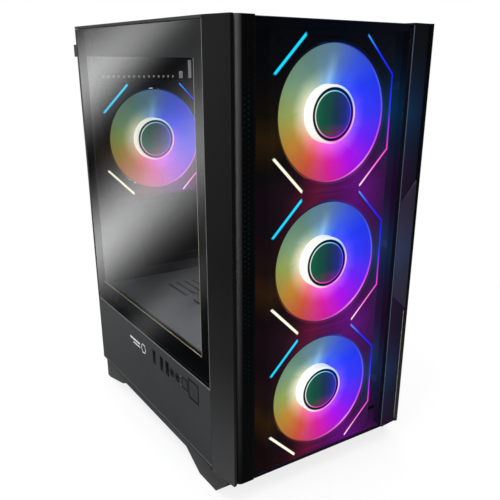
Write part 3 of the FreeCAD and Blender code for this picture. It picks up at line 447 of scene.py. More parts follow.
def painted_edge_highlight(name, tint, strength):
    """The ground and polished edge of a pane, with a painted highlight: emission stands in for the light it
    gathers along its length.
    """
    tree = Tree(name)
    glow = tree.span(tree.noise(7.0), 0.3, 0.7, 0.75 * strength, strength)
    return tree.surface(Base_Color=tint, Roughness=0.22, Emission_Color=tint, Emission_Strength=glow)


def perforated(name):
    """Dark left rail with two columns of small vent holes, painted darker as the shade inside them and with a
    faint painted teal glow; its outer round has a painted highlight, brighter towards the top.
    """
    tree = Tree(name)
    x, y, z = tree.axes(tree.place())[:3]
    side = tree.math("GREATER_THAN", x, -0.0833)
    shifted = tree.math("SUBTRACT", tree.math("SUBTRACT", z, 0.0304), tree.math("MULTIPLY", side, 0.0017))
    row = tree.math("PINGPONG", shifted, 0.00195)
    across = tree.math("ABSOLUTE", tree.math("SUBTRACT", tree.math("ABSOLUTE", tree.math("ADD", x, 0.0833)),
                                             0.0017))
    away = tree.math("SQRT", tree.math("ADD", tree.math("MULTIPLY", across, across),
                                       tree.math("MULTIPLY", row, row)))
    front = tree.math("LESS_THAN", y, -0.1505)
    hole = tree.math("MULTIPLY", tree.span(away, 0.0005, 0.0009, 1.0, 0.0), front)
    fine = tree.noise(1800.0)
    plain = tree.ramp(fine, [(0.3, colour(7, 7, 9)), (0.7, colour(9, 9, 11))])
    # painted highlight down the outer round, brighter towards the top; the holes are painted darker as the
    # shade inside them
    painted_rail_highlight = tree.math("MULTIPLY", tree.span(x, -0.0868, -0.0915), tree.span(z, 0.02, 0.33, 0.06, 1.0))
    tint = tree.blend(painted_rail_highlight, tree.blend(hole, plain, colour(4, 5, 6)), colour(118, 118, 119))
    # faint patchy teal glow in the holes: painted light of the fans behind the rail
    glow = tree.math("MULTIPLY", hole, tree.span(tree.noise(16.0), 0.45, 0.7, 0.0, 0.8))
    return tree.surface(Base_Color=tint, Roughness=tree.span(fine, 0.3, 0.7, 0.38, 0.44),
                        Normal=tree.bump(tree.math("SUBTRACT", 1.0, hole), 0.0001), Specular_IOR_Level=0.2,
                        Emission_Color=colour(8, 34, 38), Emission_Strength=glow)


def marked_steel(name, dark, light):
    """Side steel with a small plain mark, dark outlines round the controls, and a seam over the skirt with a
    painted highlight along the lip above it.
    """
    tree = Tree(name)
    x, y, z = tree.axes(tree.place())[:3]

    def gap(coordinate, middle):
        return tree.math("ABSOLUTE", tree.math("SUBTRACT", coordinate, middle))

    def both(first, second):
        return tree.math("MULTIPLY", first, second)

    # the mark: a hexagon outline and two bars
    wide, tall = gap(y, 0.0180), gap(z, 0.0820)
    slope = tree.math("ADD", tree.math("MULTIPLY", tall, 0.5), tree.math("MULTIPLY", wide, 0.866))
    reach = tree.math("MAXIMUM", tall, slope)
    mark = both(tree.span(reach, 0.0050, 0.0051, 1.0, 0.0), tree.span(reach, 0.0040, 0.0041, 0.0, 1.0))
    for middle, long, level, thick in ((0.0395, 0.0125, 0.0836, 0.0011), (0.0355, 0.0085, 0.0798, 0.0008)):
        bar = both(tree.math("LESS_THAN", gap(y, middle), long), tree.math("LESS_THAN", gap(z, level), thick))
        mark = tree.math("MAXIMUM", mark, bar)

    # dark outlines: two square buttons, three upright sockets and two round jacks
    level = gap(z, PANEL_LEVEL)
    outlines = []
    for middle, inner, outer in ((-0.0903, 0.0081, 0.0101), (-0.0732, 0.0044, 0.0060)):
        far = tree.math("MAXIMUM", gap(y, middle), level)
        outlines.append(both(tree.math("GREATER_THAN", far, inner), tree.math("LESS_THAN", far, outer)))
    for middle in (-0.0374, -0.0250, -0.0080):
        beside = tree.math("LESS_THAN", gap(y, middle), 0.0039)
        outlines.append(both(beside, tree.math("LESS_THAN", level, 0.0077)))
    for middle in (-0.0587, -0.0477):
        along = tree.math("SUBTRACT", y, middle)
        away = tree.math("SQRT", tree.math("ADD", both(along, along), both(level, level)))
        outlines.append(tree.math("LESS_THAN", away, 0.0046))
    outline = outlines[0]
    for more in outlines[1:]:
        outline = tree.math("MAXIMUM", outline, more)

    outside = tree.math("LESS_THAN", x, WINDOW_SIDE)
    fine = tree.noise(1400.0)
    plain = tree.ramp(tree.noise(14.0, 3.0), [(0.3, dark), (0.7, light)])
    # the seam over the skirt is a dark line; the pale line just above it is a painted highlight on the
    # panel's lower edge
    seam, painted_lip_highlight = colour(14, 14, 15), colour(96, 97, 98)
    foot = tree.ramp(tree.span(z, 0.0220, 0.0250), [(0.0, seam), (0.25, seam), (0.40, painted_lip_highlight), (0.60, painted_lip_highlight),
                                                    (0.85, light), (1.0, light)])
    plain = tree.blend(tree.math("LESS_THAN", z, 0.0250), plain, foot)
    tint = tree.blend(both(mark, outside), plain, colour(226, 226, 226))
    tint = tree.blend(both(outline, outside), tint, colour(7, 7, 8))
    return tree.surface(Base_Color=tint, Roughness=tree.span(fine, 0.3, 0.7, 0.46, 0.56),
                        Normal=tree.bump(fine, 0.00003))


def fan_centres(names):
    middles = []
    for name in names:
        low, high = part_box(name)
        middles.append((low + high) / 2)
    return middles


FRONT_LIGHTS = fan_centres(FAN_NODES)
REAR_LIGHTS = fan_centres(["rear_fan_rotor"])

FINISH = {
    "steel": moulded("powder_coat", colour(30, 31, 33), colour(35, 36, 38), 0.55, 1400.0, 0.00003),
    "side_steel": marked_steel("side_powder_coat", colour(50, 51, 52), colour(56, 57, 58)),
    "back_steel": moulded("rear_powder_coat", colour(38, 39, 41), colour(44, 45, 47), 0.52, 1400.0, 0.00003),
    "shroud": moulded("shroud_coat", colour(96, 97, 99), colour(106, 107, 109), 0.45, 1400.0, 0.00003),
    "plastic": moulded("black_moulding", colour(24, 24, 26), colour(29, 29, 31), 0.46, 1600.0, 0.00003),
    # painted light and shade: the skirt and the side strip are lighter towards the floor and darker higher up
    "skirt": painted_height_shade("skirt_moulding", [(0.0, colour(70, 70, 71)), (0.03, colour(52, 52, 53))], 0.45),
    "strip": painted_height_shade("strip_moulding", [(0.02, colour(68, 68, 69)), (0.07, colour(60, 60, 61)),
                                       (0.14, colour(33, 33, 34)), (0.22, colour(17, 17, 18)),
                                       (0.38, colour(6, 6, 7))], 0.5, gloss=0.2),
    "front": lit_black("front_moulding", FRONT_LIGHTS, colour(5, 5, 7), colour(8, 8, 10), 0.5, 1.7, 0.030),
    "rail": lit_black("rail_moulding", FRONT_LIGHTS, colour(7, 7, 9), colour(9, 9, 11), 0.3, 0.75, 0.025),
    "left_rail": perforated("left_rail_moulding"),
    "inlay": lit_black("satin_inlay", FRONT_LIGHTS, colour(62, 60, 66), colour(70, 68, 74),
                       0.32, 0.75, 0.026),
    "print": moulded("glass_print", colour(4, 5, 10), colour(6, 7, 12), 0.3, 16.0, 0.0),
    "fan": lit_black("fan_moulding", FRONT_LIGHTS, colour(7, 7, 9), colour(10, 10, 12), 0.5, 1.35),
    "rear_fan": lit_black("rear_fan_moulding", REAR_LIGHTS, colour(8, 8, 10), colour(12, 12, 14), 0.5),
    "gauze": clear_glass("dust_gauze", (0.22, 0.22, 0.225, 1.0), 0.0, 0.0),
    "open_gauze": clear_glass("open_gauze", (0.52, 0.52, 0.53, 1.0), 0.0, 0.0),
    "mesh": moulded("filter_weave", colour(18, 18, 19), colour(26, 26, 27), 0.7, 1100.0, 0.0002),
    "gloss_black": moulded("gloss_rim", colour(6, 6, 7), colour(9, 9, 10), 0.3, 1500.0, 0.00001),
    "key": moulded("key_moulding", colour(46, 47, 48), colour(54, 55, 56), 0.46, 1500.0, 0.00002),
    "rubber": moulded("foot_rubber", colour(28, 28, 28), colour(34, 34, 34), 0.8, 1400.0, 0.00005),
    "board": moulded("solder_mask", colour(22, 27, 28), colour(30, 36, 36), 0.35, 120.0, 0.00001, coat=0.3),
    "spreader": moulded("heat_spreader", colour(84, 86, 90), colour(98, 100, 104), 0.36, 200.0, 0.000005,
                        metallic=0.8),
    "connector": moulded("connector_plastic", colour(58, 60, 64), colour(68, 70, 74), 0.45, 900.0, 0.00001),
    "metal": moulded("plated_steel", colour(150, 150, 152), colour(176, 176, 178), 0.32, 90.0, 0.000004,
                     metallic=1.0),
    "dark_metal": moulded("blackened_steel", colour(44, 44, 46), colour(58, 58, 60), 0.38, 900.0, 0.00002,
                          metallic=0.6),
    "fins": moulded("bare_fins", colour(150, 152, 155), colour(178, 180, 183), 0.34, 60.0, 0.000004,
                    metallic=1.0),
    "lens": moulded("clear_lens", colour(120, 128, 134), colour(150, 158, 162), 0.15, 800.0, 0.00001),
    "blue": moulded("socket_blue", colour(24, 64, 150), colour(30, 74, 168), 0.4, 900.0, 0.00001),
    "smoked": clear_glass("smoked_glass", (0.90, 0.90, 0.91, 1.0), 0.35, 0.03),
    "window": clear_glass("side_glass", (0.84, 0.845, 0.85, 1.0)),
    # pane edges and thin edge lines: painted highlights that glow, though they are no lamps
    "window_edge": painted_edge_highlight("window_edge", colour(22, 24, 28), 0.05),
    "front_edge": painted_edge_highlight("front_glass_edge", colour(20, 24, 34), 0.08),
    "line": painted_edge_highlight("lit_line", colour(126, 126, 122), 0.25),
    "cool_line": painted_edge_highlight("cool_line", colour(74, 82, 98), 0.5),
    "cream": painted_edge_highlight("cream_edge_highlight", colour(190, 180, 150), 0.25),
}

NODE_FINISH = {
    "steel": ["floor_pan", "roof_panel", "motherboard_tray", "window_frame", "window_rear_strip",
              "window_pull_tab", "slot_covers"],
    "side_steel": ["lower_side_panel", "right_side_panel"],
    "back_steel": ["rear_panel", "psu_case"],
    "shroud": ["psu_shroud"],
    "plastic": ["skirt_crossbars", "mains_inlet", "psu_switch", "cooler_rotor", "psu_rotor", "audio_jacks"],
    "key": ["power_button", "reset_button"],
    "skirt": ["skirt_left", "skirt_right", "foot_blocks"],
    "strip": ["bezel_left_strip", "bezel_right_strip"],
    "front": ["bezel_top_bar", "bezel_bottom_bar", "bezel_studs", "front_wall"],
    "rail": ["bezel_right_rail", "bezel_left_rail"],
    "inlay": ["rail_inlay"],
    "print": ["window_border"],
    "fan": [name for name in nodes if "front_fan_frame" in name],
    "rear_fan": ["rear_fan_frame"],
    "mesh": ["top_filter", "psu_filter"],
    "rubber": ["foot_pads"],
    "board": ["motherboard", "io_board"],
    "spreader": ["memory_modules"],
    "metal": ["usb_sockets", "io_shield", "standoffs"],
    "dark_metal": ["rear_screws", "thumbscrews"],
    "fins": ["cpu_cooler"],
    "lens": ["status_lights"],
    "smoked": ["front_glass"],
    "window": ["window_glass"],
}


def cover(thing, *finishes):
    """Give a thing its materials, in slot order."""
    thing.data.materials.clear()
    for finish in finishes:
        thing.data.materials.append(finish)


def finish_nodes():
    for finish, names in NODE_FINISH.items():
        for name in names:
            cover(nodes[name], FINISH[finish])


# ---- mesh helpers -----------------------------------------------------------

def as_object(name, build, body, slot, *finishes, soft_angle=35.0):
    """Turn a bmesh into a piece that rides on a body."""
    bmesh.ops.recalc_face_normals(build, faces=build.faces)
    mesh = bpy.data.meshes.new(name)
    build.to_mesh(mesh)
    build.free()
    thing = bpy.data.objects.new(name, mesh)
    bpy.context.scene.collection.objects.link(thing)
    for finish in finishes:
        mesh.materials.append(finish)
    for face in mesh.polygons:
        face.use_smooth = True
    mesh.set_sharp_from_angle(angle=math.radians(soft_angle))
    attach(thing, body)
    return thing


def add_block(build, low, high, bevel=0.0, segments=2, finish=0):
    """A block between two corners with rounded edges."""
    low, high = Vector(low), Vector(high)
    middle = (low + high) / 2
    size = high - low
    place = Matrix.Translation(middle) @ Matrix.Diagonal((*size, 1.0))
    made = bmesh.ops.create_cube(build, size=1.0, matrix=place)
    fresh = made["verts"]
    faces = {face for vert in fresh for face in vert.link_faces}
    if bevel:
        edges = list({edge for vert in fresh for edge in vert.link_edges})
        result = bmesh.ops.bevel(build, geom=edges, offset=bevel, segments=segments, affect="EDGES",
                                 profile=0.5)
        faces = {face for face in faces if face.is_valid} | set(result["faces"])
    for face in faces:
        face.material_index = finish


def revolve(build, centre, outline, steps=64, finish=0):
    """Turn an outline of (radius, y) pairs about the Y axis through centre."""
    rings = []
    for radius, along in outline:
        if radius <= 1e-7:
            rings.append([build.verts.new(centre + Vector((0, along, 0)))])
            continue
        ring = []
        for step in range(steps):
            angle = 2 * math.pi * step / steps
            spoke = Vector((radius * math.cos(angle), along, radius * math.sin(angle)))
            ring.append(build.verts.new(centre + spoke))
        rings.append(ring)
    for first, second in zip(rings, rings[1:]):
        for step in range(steps):
            after = (step + 1) % steps
            corners = [first[step % len(first)], first[after % len(first)],
                       second[after % len(second)], second[step % len(second)]]
            unique = list(dict.fromkeys(corners))
            if len(unique) >= 3:
                build.faces.new(unique).material_index = finish


def extrude_outline(build, points, low, high, finish=0):
    """An upright prism from plan points."""
    bottom = [build.verts.new((x, y, low)) for x, y in points]
    top = [build.verts.new((x, y, high)) for x, y in points]
    total = len(points)
    faces = [build.faces.new(bottom), build.faces.new(top)]
    for step in range(total):
        after = (step + 1) % total
        faces.append(build.faces.new((bottom[step], bottom[after], top[after], top[step])))
    for face in faces:
        face.material_index = finish


def arc(centre, radius, start, end, steps=8):
    """Points along an arc, angles in degrees."""
    return [
        (centre[0] + radius * math.cos(math.radians(start + (end - start) * step / steps)),
         centre[1] + radius * math.sin(math.radians(start + (end - start) * step / steps)))
        for step in range(steps + 1)
    ]


# ---- fans -------------------------------------------------------------------

FANS = [
    ("front_fan_rotor_top", "front_rotor_top", "front_fan_light_top", 1.40),
    ("front_fan_rotor_middle", "front_rotor_middle", "front_fan_light_middle", 1.40),
    ("front_fan_rotor_bottom", "front_rotor_bottom", "front_fan_light_bottom", 1.40),
    ("rear_fan_rotor", "rear_rotor", "rear_fan_light", 1.2),
]


BLADES = 11
HUB_RADIUS = 0.0222
TIP_RADIUS = 0.0521
TIP_WALL = 0.0006
BLADE_DISH = (0.0090, 0.0024)    # depth of the blade's sheet behind the rotor's face, at hub and at tip
BLADE_PITCH = 0.0024
BLADE_SPREAD = 0.86              # angle that one blade covers, in radians
BLADE_SWEEP = 0.16
BLADE_THICKNESS = 0.0009
BLADE_STEPS = 12


def add_blade(build, centre, start, hub, tip):
    """One broad swept blade: a thin curved sheet from hub to tip, dished towards the front at its tip."""
    across = along = BLADE_STEPS
    grid = []
    for side in (0, 1):
        rows = []
        for step in range(along + 1):
            out = step / along
            radius = hub + (tip - hub) * out
            sweep = BLADE_SWEEP * math.sin(out * math.pi / 2)
            dish = BLADE_DISH[0] + (BLADE_DISH[1] - BLADE_DISH[0]) * out
            row = []
            for place in range(across + 1):
                chord = place / across
                angle = start + BLADE_SPREAD * (chord - 0.5) + sweep
                twist = 0.12 + math.sin(math.pi * out)
                depth = dish + BLADE_PITCH * twist * (chord - 0.5) + side * BLADE_THICKNESS
                row.append(build.verts.new(centre + Vector((radius * math.cos(angle), depth,
                                                            radius * math.sin(angle)))))
            rows.append(row)
        grid.append(rows)
    for rows in grid:
        for lower, upper in zip(rows, rows[1:]):
            for place in range(across):
                build.faces.new((lower[place], lower[place + 1], upper[place + 1], upper[place]))
    front, back = grid
    border = ([(front[0][i], back[0][i]) for i in range(across + 1)]
              + [(front[i][across], back[i][across]) for i in range(1, along + 1)]
              + [(front[along][i], back[along][i]) for i in range(across - 1, -1, -1)]
              + [(front[i][0], back[i][0]) for i in range(along - 1, 0, -1)])
    for (near, far), (next_near, next_far) in zip(border, border[1:] + border[:1]):
        build.faces.new((near, next_near, next_far, far))


def make_rotor(node, body, light, strength):
    """Lit hub, eleven broad blades that overlap in front view, and a tip ring."""
    low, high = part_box(node)
    centre = (low + high) / 2
    centre.y = low.y
    hub, tip, wall = HUB_RADIUS, TIP_RADIUS, TIP_WALL
    build = bmesh.new()
    revolve(build, centre, [(0.0, 0.0004), (0.30 * hub, 0.0003), (0.75 * hub, 0.0004), (0.78 * hub, 0.0002),
                            (0.81 * hub, 0.0004), (0.82 * hub, 0.0012), (0.89 * hub, 0.0012),
                            (0.91 * hub, 0.0003), (0.95 * hub, 0.0001), (0.99 * hub, 0.0004)], finish=1)
    revolve(build, centre, [(0.99 * hub, 0.0004), (hub, 0.0009), (hub, 0.0145), (0.95 * hub, 0.0160),
                            (0.0022, 0.0160)], finish=2)
    for index in range(BLADES):
        add_blade(build, centre, 2 * math.pi * index / BLADES, hub - 0.0008, tip - wall)
    revolve(build, centre, [(tip - wall, 0.0110), (tip - wall, 0.0012), (tip - wall / 2, 0.0010),
                            (tip, 0.0012), (tip, 0.0110), (tip - wall, 0.0110)], steps=128, finish=3)
    rotor = as_object(f"{node}_lit", build, body, "glowing_rotor",
                      glowing_blades(f"{node}_blades", centre, strength),
                      glowing_hub(f"{node}_hub", centre, hub),
                      hot_wall(f"{node}_wall", centre), rim_line(f"{node}_rim", centre), soft_angle=50.0)
    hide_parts(node)
    lights = FRONT_LIGHTS if "front" in node else REAR_LIGHTS
    cover(nodes[light], light_guide(f"{light}_glow", centre, lights))


# ---- panes and mouldings ----------------------------------------------------

def make_pane(node, body, slot, face, edge):
    """A pane with ground edges that carry a painted highlight, in place of the plain one."""
    low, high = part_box(node)
    build = bmesh.new()
    add_block(build, low, high, 0.0005)
    build.normal_update()
    thin = 0 if high.x - low.x < high.y - low.y else 1
    for side in build.faces:
        side.material_index = 0 if abs(side.normal[thin]) > 0.99 else 1
    pane = as_object(f"{node}_ground", build, body, slot, FINISH[face], FINISH[edge], soft_angle=5.0)
    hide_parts(node)


def make_print():
    """Printed border inside the window glass, with a painted highlight line below and in front of its
    opening.
    """
    low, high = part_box("window_border")
    front, rear = low.y + 0.0203, high.y - 0.0070
    base, top = low.z + 0.0212, high.z - 0.0252
    build = bmesh.new()
    for corner, opposite in (((low.y, low.z), (high.y, base)), ((low.y, top), (high.y, high.z)),
                             ((low.y, base), (front, top)), ((rear, base), (high.y, top))):
        add_block(build, (low.x, *corner), (high.x, *opposite))
    border = as_object("window_print", build, "window", "black_print", FINISH["print"], soft_angle=5.0)
    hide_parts("window_border")
    build = bmesh.new()
    for opposite in ((rear, base + THIN_LINE), (front + THIN_LINE, top)):
        add_block(build, (low.x, front, base), (high.x, *opposite))
    as_object("window_print_edge", build, "window", "black_print", FINISH["cream"])


def make_window_lines():
    """Lit edge lines along the bottom and front of the window glass."""
    low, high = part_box("window_glass")
    build = bmesh.new()
    add_block(build, low, (low.x + THIN_LINE, high.y, low.z + THIN_LINE))
    add_block(build, low, (low.x + THIN_LINE, low.y + 0.6 * THIN_LINE, high.z))
    as_object("window_edge_lines", build, "window", "side_glass", FINISH["line"])


def make_gauze():
    """Fine dark gauze inside the rear vents."""
    low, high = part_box("slot_covers")
    build = bmesh.new()
    add_block(build, (low.x, low.y - 0.0012, low.z), (high.x, low.y - 0.0004, high.z))
    low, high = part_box("rear_panel")
    add_block(build, (-0.080, low.y - 0.0012, 0.3365), (0.031, low.y - 0.0004, 0.3600), finish=1)
    as_object("rear_gauze", build, "chassis", "filter_mesh", FINISH["gauze"], FINISH["open_gauze"],
              soft_angle=5.0)


def make_front_ledges():
    """Dark ledges that close the front panel above and below, behind the glass."""
    low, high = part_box("front_glass")
    left, right = low.x + 0.0001, high.x - 0.0001
    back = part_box("bezel_bottom_bar")[0].y + 0.0004
    build = bmesh.new()
    add_block(build, (left, high.y, low.z + 0.0001), (right, back, low.z + 0.0013))
    add_block(build, (left, high.y, high.z - 0.0050), (right, back, high.z))
    as_object("front_ledges", build, "front_panel", "black_plastic", FINISH["front"], soft_angle=5.0)


def make_shroud_apron():
    """Ribbed plate that carries the shroud's top forward to the fans."""
    low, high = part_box("psu_shroud")
    front = -0.1120
    build = bmesh.new()
    add_block(build, (low.x, front, high.z - 0.0010), (high.x, low.y + 0.0005, high.z), 0.0003)
    for step in range(9):
        middle = low.x + 0.020 + 0.017 * step
        add_block(build, (middle - 0.002, front + 0.010, high.z - 0.0018),
                  (middle + 0.002, low.y - 0.008, high.z - 0.0009), 0.0003)
    as_object("shroud_apron", build, "chassis", "black_steel", FINISH["shroud"], soft_angle=20.0)


# parts on the board: middle y and z, length along y and z, height off the board, finish number
BOARD_PARTS = [
    (0.1020, 0.2900, 0.020, 0.090, 0.026, 0),
    (0.0480, 0.3540, 0.080, 0.018, 0.022, 0),
    (-0.0350, 0.1600, 0.036, 0.036, 0.0094, 0),
    (0.0500, 0.2120, 0.090, 0.024, 0.006, 0),
    (0.0500, 0.1920, 0.088, 0.008, 0.010, 1),
    (-0.0760, 0.2280, 0.012, 0.018, 0.010, 1),
    (-0.0760, 0.2040, 0.012, 0.018, 0.010, 1),
    (-0.0780, 0.1700, 0.010, 0.040, 0.010, 1),
    (0.0100, 0.1320, 0.034, 0.006, 0.008, 1),
    (0.0600, 0.1320, 0.040, 0.006, 0.008, 1),
    (0.1180, 0.1380, 0.016, 0.012, 0.003, 1),
    (0.1180, 0.3560, 0.012, 0.018, 0.012, 1),
]


def make_board_parts():
    """Heat spreaders, sockets and small parts on the board, and ribs on the memory."""
    face = 0.074
    build = bmesh.new()
    for y, z, long_y, long_z, tall, finish in BOARD_PARTS:
        add_block(build, (face - tall, y - long_y / 2, z - long_z / 2),
                  (face, y + long_y / 2, z + long_z / 2), 0.0006, 2, finish)
    for step in range(8):
        z = 0.2520 + 0.0105 * step
        add_block(build, (face - 0.0285, 0.0935, z - 0.003), (face - 0.0255, 0.1105, z + 0.003), 0.0004, 2, 0)
    for step in range(9):
        for y, z in ((0.0865, 0.2500 + 0.0100 * step), (0.0120 + 0.0095 * step, 0.3395)):
            add_block(build, (face - 0.007, y - 0.0026, z - 0.0026), (face, y + 0.0026, z + 0.0026),
                      0.0008, 2, 1)
    low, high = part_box("memory_modules")
    for y in (-0.030, -0.018):
        for step in range(11):
            z = low.z + 0.008 + 0.0114 * step
            add_block(build, (low.x - 0.0006, y - 0.0036, z - 0.0042),
                      (low.x + 0.0300, y + 0.0036, z + 0.0042), 0.0006, 2, 0)
    as_object("board_parts", build, "chassis", "circuit_board", FINISH["spreader"], FINISH["connector"])


# sockets on the rear plate: middle x and z, width, height, finish number
REAR_SOCKETS = [
    (0.0440, 0.2170, 0.013, 0.011, 1), (0.0600, 0.2170, 0.013, 0.011, 1),
    (0.0440, 0.2470, 0.013, 0.016, 0), (0.0600, 0.2470, 0.013, 0.016, 0),
    (0.0440, 0.2690, 0.005, 0.012, 1), (0.0520, 0.2690, 0.005, 0.012, 1),
    (0.0640, 0.2690, 0.012, 0.010, 0), (0.0440, 0.2870, 0.014, 0.007, 1),
    (0.0620, 0.2870, 0.014, 0.007, 1), (0.0460, 0.3070, 0.014, 0.010, 0),
    (0.0640, 0.3070, 0.005, 0.010, 0),
]


def make_rear_sockets():
    """Dark mouths and rims of the sockets on the rear plate, and its audio jacks."""
    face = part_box("io_shield")[1].y
    build = bmesh.new()
    for x, z, wide, tall, finish in REAR_SOCKETS:
        add_block(build, (x - wide / 2, face - 0.0006, z - tall / 2),
                  (x + wide / 2, face + 0.0004, z + tall / 2), 0.0003, 2, 0)
        if finish:
            add_block(build, (x - wide * 0.38, face - 0.0002, z - tall * 0.12),
                      (x + wide * 0.38, face + 0.0007, z + tall * 0.12), 0.0001, 1, 1)
    for x in (0.0430, 0.0560, 0.0680):
        for z in (0.3290, 0.3430):
            centre = Vector((x, face, z))
            revolve(build, centre, [(0.0046, -0.0006), (0.0046, 0.0006), (0.0030, 0.0006), (0.0024, -0.0003),
                                    (0.0, -0.0003)], 24, 0)
    as_object("rear_socket_mouths", build, "chassis", "jack_plastic", FINISH["gloss_black"], FINISH["blue"])


def make_edge_lines():
    """Thin painted highlight lines down the right edge of the front glass and the foot of the right rail."""
    glass_low, glass_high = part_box("front_glass")
    rail_low, rail_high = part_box("bezel_right_rail")
    build = bmesh.new()
    add_block(build, (glass_high.x + 0.0001, rail_low.y + 0.0001, glass_low.z + 0.001),
              (rail_low.x - 0.0001, rail_low.y + 0.0030, glass_high.z - 0.001))
    add_block(build, (rail_high.x - 0.0013, rail_low.y + 0.0014, glass_low.z + 0.004),
              (rail_high.x - 0.0009, rail_low.y + 0.0022, 0.1395), finish=1)
    as_object("front_edge_lines", build, "front_panel", "light_guide", FINISH["cool_line"], FINISH["cream"])


def make_left_rail():
    """Rail with a full outer round, in place of the plain one."""
    low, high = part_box("bezel_left_rail")
    radius = 0.0058
    front = low.y + 0.0001
    plan = [(low.x + 0.0002, high.y - 0.0001), (low.x + 0.0008, front + radius)]
    plan += arc((low.x + 0.0008 + radius, front + radius), radius, 180, 270, 10)[1:]
    plan += arc((high.x - 0.0008, front + 0.0008), 0.0008, 270, 360, 4)
    plan.append((high.x, high.y - 0.0001))
    build = bmesh.new()
    extrude_outline(build, plan, low.z, high.z)
    rail = as_object("left_rail_round", build, "front_panel", "black_plastic", FINISH["left_rail"])
    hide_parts("bezel_left_rail")


# ---- studio -----------------------------------------------------------------

def make_floor():
    build = bmesh.new()
    bmesh.ops.create_grid(build, x_segments=2, y_segments=2, size=6.0)
    mesh = bpy.data.meshes.new("studio_floor")
    build.to_mesh(mesh)
    build.free()
    floor = bpy.data.objects.new("studio_floor", mesh)
    bpy.context.scene.collection.objects.link(floor)
    floor.location.z = -0.0002
    tree = Tree("studio_floor")
    tint = tree.ramp(tree.noise(2.0), [(0.3, (0.90, 0.90, 0.90, 1)), (0.7, (0.92, 0.92, 0.92, 1))])
    shader = tree.principled(Base_Color=tint, Roughness=0.9)
    # the paper fades into the white backdrop away from the object
    away = tree.add("ShaderNodeVectorMath", operation="LENGTH")
    tree.link(tree.place(), away.inputs[0])
    backdrop = tree.add("ShaderNodeEmission")
    fade = tree.span(away.outputs["Value"], 0.10, 0.60, 0.80, 1.0)
    mesh.materials.append(tree.finish(tree.mix_shaders(fade, shader.outputs[0], backdrop.outputs[0])))
    floor.visible_glossy = False
    floor.visible_diffuse = False


def make_card(name, place, scale, bands):
    """A studio card beside the window, seen only as a reflection; bands are soft diagonal stripes."""
    build = bmesh.new()
    bmesh.ops.create_grid(build, x_segments=1, y_segments=1, size=0.5,
                          matrix=Matrix.Rotation(math.radians(90), 4, "Y"))
    mesh = bpy.data.meshes.new(name)
    build.to_mesh(mesh)
    build.free()
    card = bpy.data.objects.new(name, mesh)
    bpy.context.scene.collection.objects.link(card)
    card.location = place
    card.scale = (1.0, scale, scale)
    tree = Tree(name)
    x, y, z = tree.axes(tree.place())[:3]
    total = None
    for height, slope, width, widen, power in bands:
        ridge = tree.math("MULTIPLY_ADD", y, slope, height)
        reach = tree.math("MULTIPLY_ADD", y, widen, width)
        away = tree.math("DIVIDE", tree.math("SUBTRACT", z, ridge), reach)
        bell = tree.math("EXPONENT", tree.math("MULTIPLY", tree.math("MULTIPLY", away, away), -1.0))
        part = tree.math("MULTIPLY", bell, power)
        total = part if total is None else tree.math("ADD", total, part)
    light = tree.add("ShaderNodeEmission")
    tree.link(total, light.inputs["Strength"])
    mesh.materials.append(tree.finish(light.outputs[0]))
    card.visible_camera = False
    card.visible_diffuse = False
    card.visible_shadow = False
    card.visible_transmission = False


def lamp(name, place, target, power, size):
    """A rectangular lamp, aimed at a point and not seen by the camera."""
    data = bpy.data.lights.new(name, "AREA")
    data.energy = power
    data.shape = "RECTANGLE"
    data.size, data.size_y = size
    light = bpy.data.objects.new(name, data)
    bpy.context.scene.collection.objects.link(light)
    light.location = place
    light.rotation_euler = (Vector(target) - Vector(place)).to_track_quat("-Z", "Y").to_euler()
    light.visible_camera = False
    return light


def make_world():
    """White for the camera; a dim even fill for everything else."""
    world = bpy.data.worlds.new("studio")
    bpy.context.scene.world = world
    world.use_nodes = True
    tree = world.node_tree
    tree.nodes.clear()
    output = tree.nodes.new("ShaderNodeOutputWorld")
    mix = tree.nodes.new("ShaderNodeMixShader")
    rays = tree.nodes.new("ShaderNodeLightPath")
    fill = tree.nodes.new("ShaderNodeBackground")
    fill.inputs["Color"].default_value = (0.95, 0.97, 1.0, 1.0)
    # the room is dark in front of the glass, so that the lit fans show clearly
    facing = tree.nodes.new("ShaderNodeTexCoord")
    split = tree.nodes.new("ShaderNodeSeparateXYZ")
    level = tree.nodes.new("ShaderNodeMapRange")
    for socket, number in zip(level.inputs[1:5], (-0.75, 0.05, 0.02, 0.30)):
        socket.default_value = number
    tree.links.new(facing.outputs["Generated"], split.inputs[0])
    tree.links.new(split.outputs["Y"], level.inputs[0])
    tree.links.new(level.outputs[0], fill.inputs["Strength"])
    white = tree.nodes.new("ShaderNodeBackground")
    white.inputs["Color"].default_value = (1.0, 1.0, 1.0, 1.0)
    white.inputs["Strength"].default_value = 1.0
    tree.links.new(rays.outputs["Is Camera Ray"], mix.inputs[0])
    tree.links.new(fill.outputs[0], mix.inputs[1])
    tree.links.new(white.outputs[0], mix.inputs[2])
    tree.links.new(mix.outputs[0], output.inputs[0])


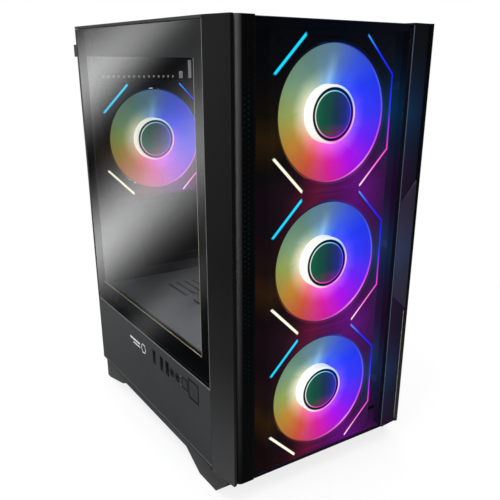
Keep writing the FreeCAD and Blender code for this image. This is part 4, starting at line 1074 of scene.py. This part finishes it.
def make_camera():
    """Camera at the photograph's viewing angle, for a square picture."""
    yaw, pitch, roll = (math.radians(value) for value in (34.472, -20.491, 0.662))
    ahead = Vector((math.sin(yaw) * math.cos(pitch), math.cos(yaw) * math.cos(pitch), math.sin(pitch)))
    level = Vector((math.cos(yaw), -math.sin(yaw), 0.0))
    upright = level.cross(ahead)
    right = math.cos(roll) * level + math.sin(roll) * upright
    up = math.cos(roll) * upright - math.sin(roll) * level
    data = bpy.data.cameras.new("camera")
    data.sensor_width = 36.0
    data.lens = 45.163
    data.shift_x = -0.0373
    data.shift_y = 0.0852
    data.clip_start = 0.02
    camera = bpy.data.objects.new("camera", data)
    bpy.context.scene.collection.objects.link(camera)
    turn = Matrix((right, up, -ahead)).transposed().to_4x4()
    camera.matrix_world = Matrix.Translation(Vector((-0.323642, -0.530260, 0.360562))) @ turn
    bpy.context.scene.camera = camera


def make_studio():
    bpy.context.scene.view_settings.view_transform = "Standard"
    make_world()
    make_camera()
    make_floor()
    # bands: height at y = 0, slope, half width, widening along y, strength
    make_card("window_reflection", (-1.2, 2.618, -1.783), 5.94, [
        (0.377, -0.31, 0.027, 0.075, 1.85),
        (0.236, -0.56, 0.040, 0.03, 1.75),
        (0.118, -0.71, 0.020, 0.0, 0.25),
    ])
    lamp("overhead", (0.0, 0.1, 2.4), (0, 0, 0), 95.0, (3.2, 3.2))
    inner = lamp("inside", (-0.070, -0.075, 0.25), (-0.070, -0.075, 0.0), 0.36, (0.05, 0.08))
    inner.visible_glossy = False
    lamp("edge_light", (-1.5, -0.95, 1.0), (-0.09, -0.15, 0.3), 6.0, (0.25, 0.9))
    lamp("side_fill", (-2.0, -0.2, 0.7), (0, 0, 0.15), 26.0, (1.6, 1.4))


finish_nodes()
for rotor_node, rotor_body, guide_node, brightness in FANS:
    make_rotor(rotor_node, rotor_body, guide_node, brightness)
make_pane("window_glass", "window", "side_glass", "window", "window_edge")
make_pane("front_glass", "front_panel", "smoked_glass", "smoked", "front_edge")
make_print()
make_window_lines()
make_gauze()
make_shroud_apron()
make_front_ledges()
make_board_parts()
make_rear_sockets()
make_edge_lines()
make_left_rail()
make_studio()
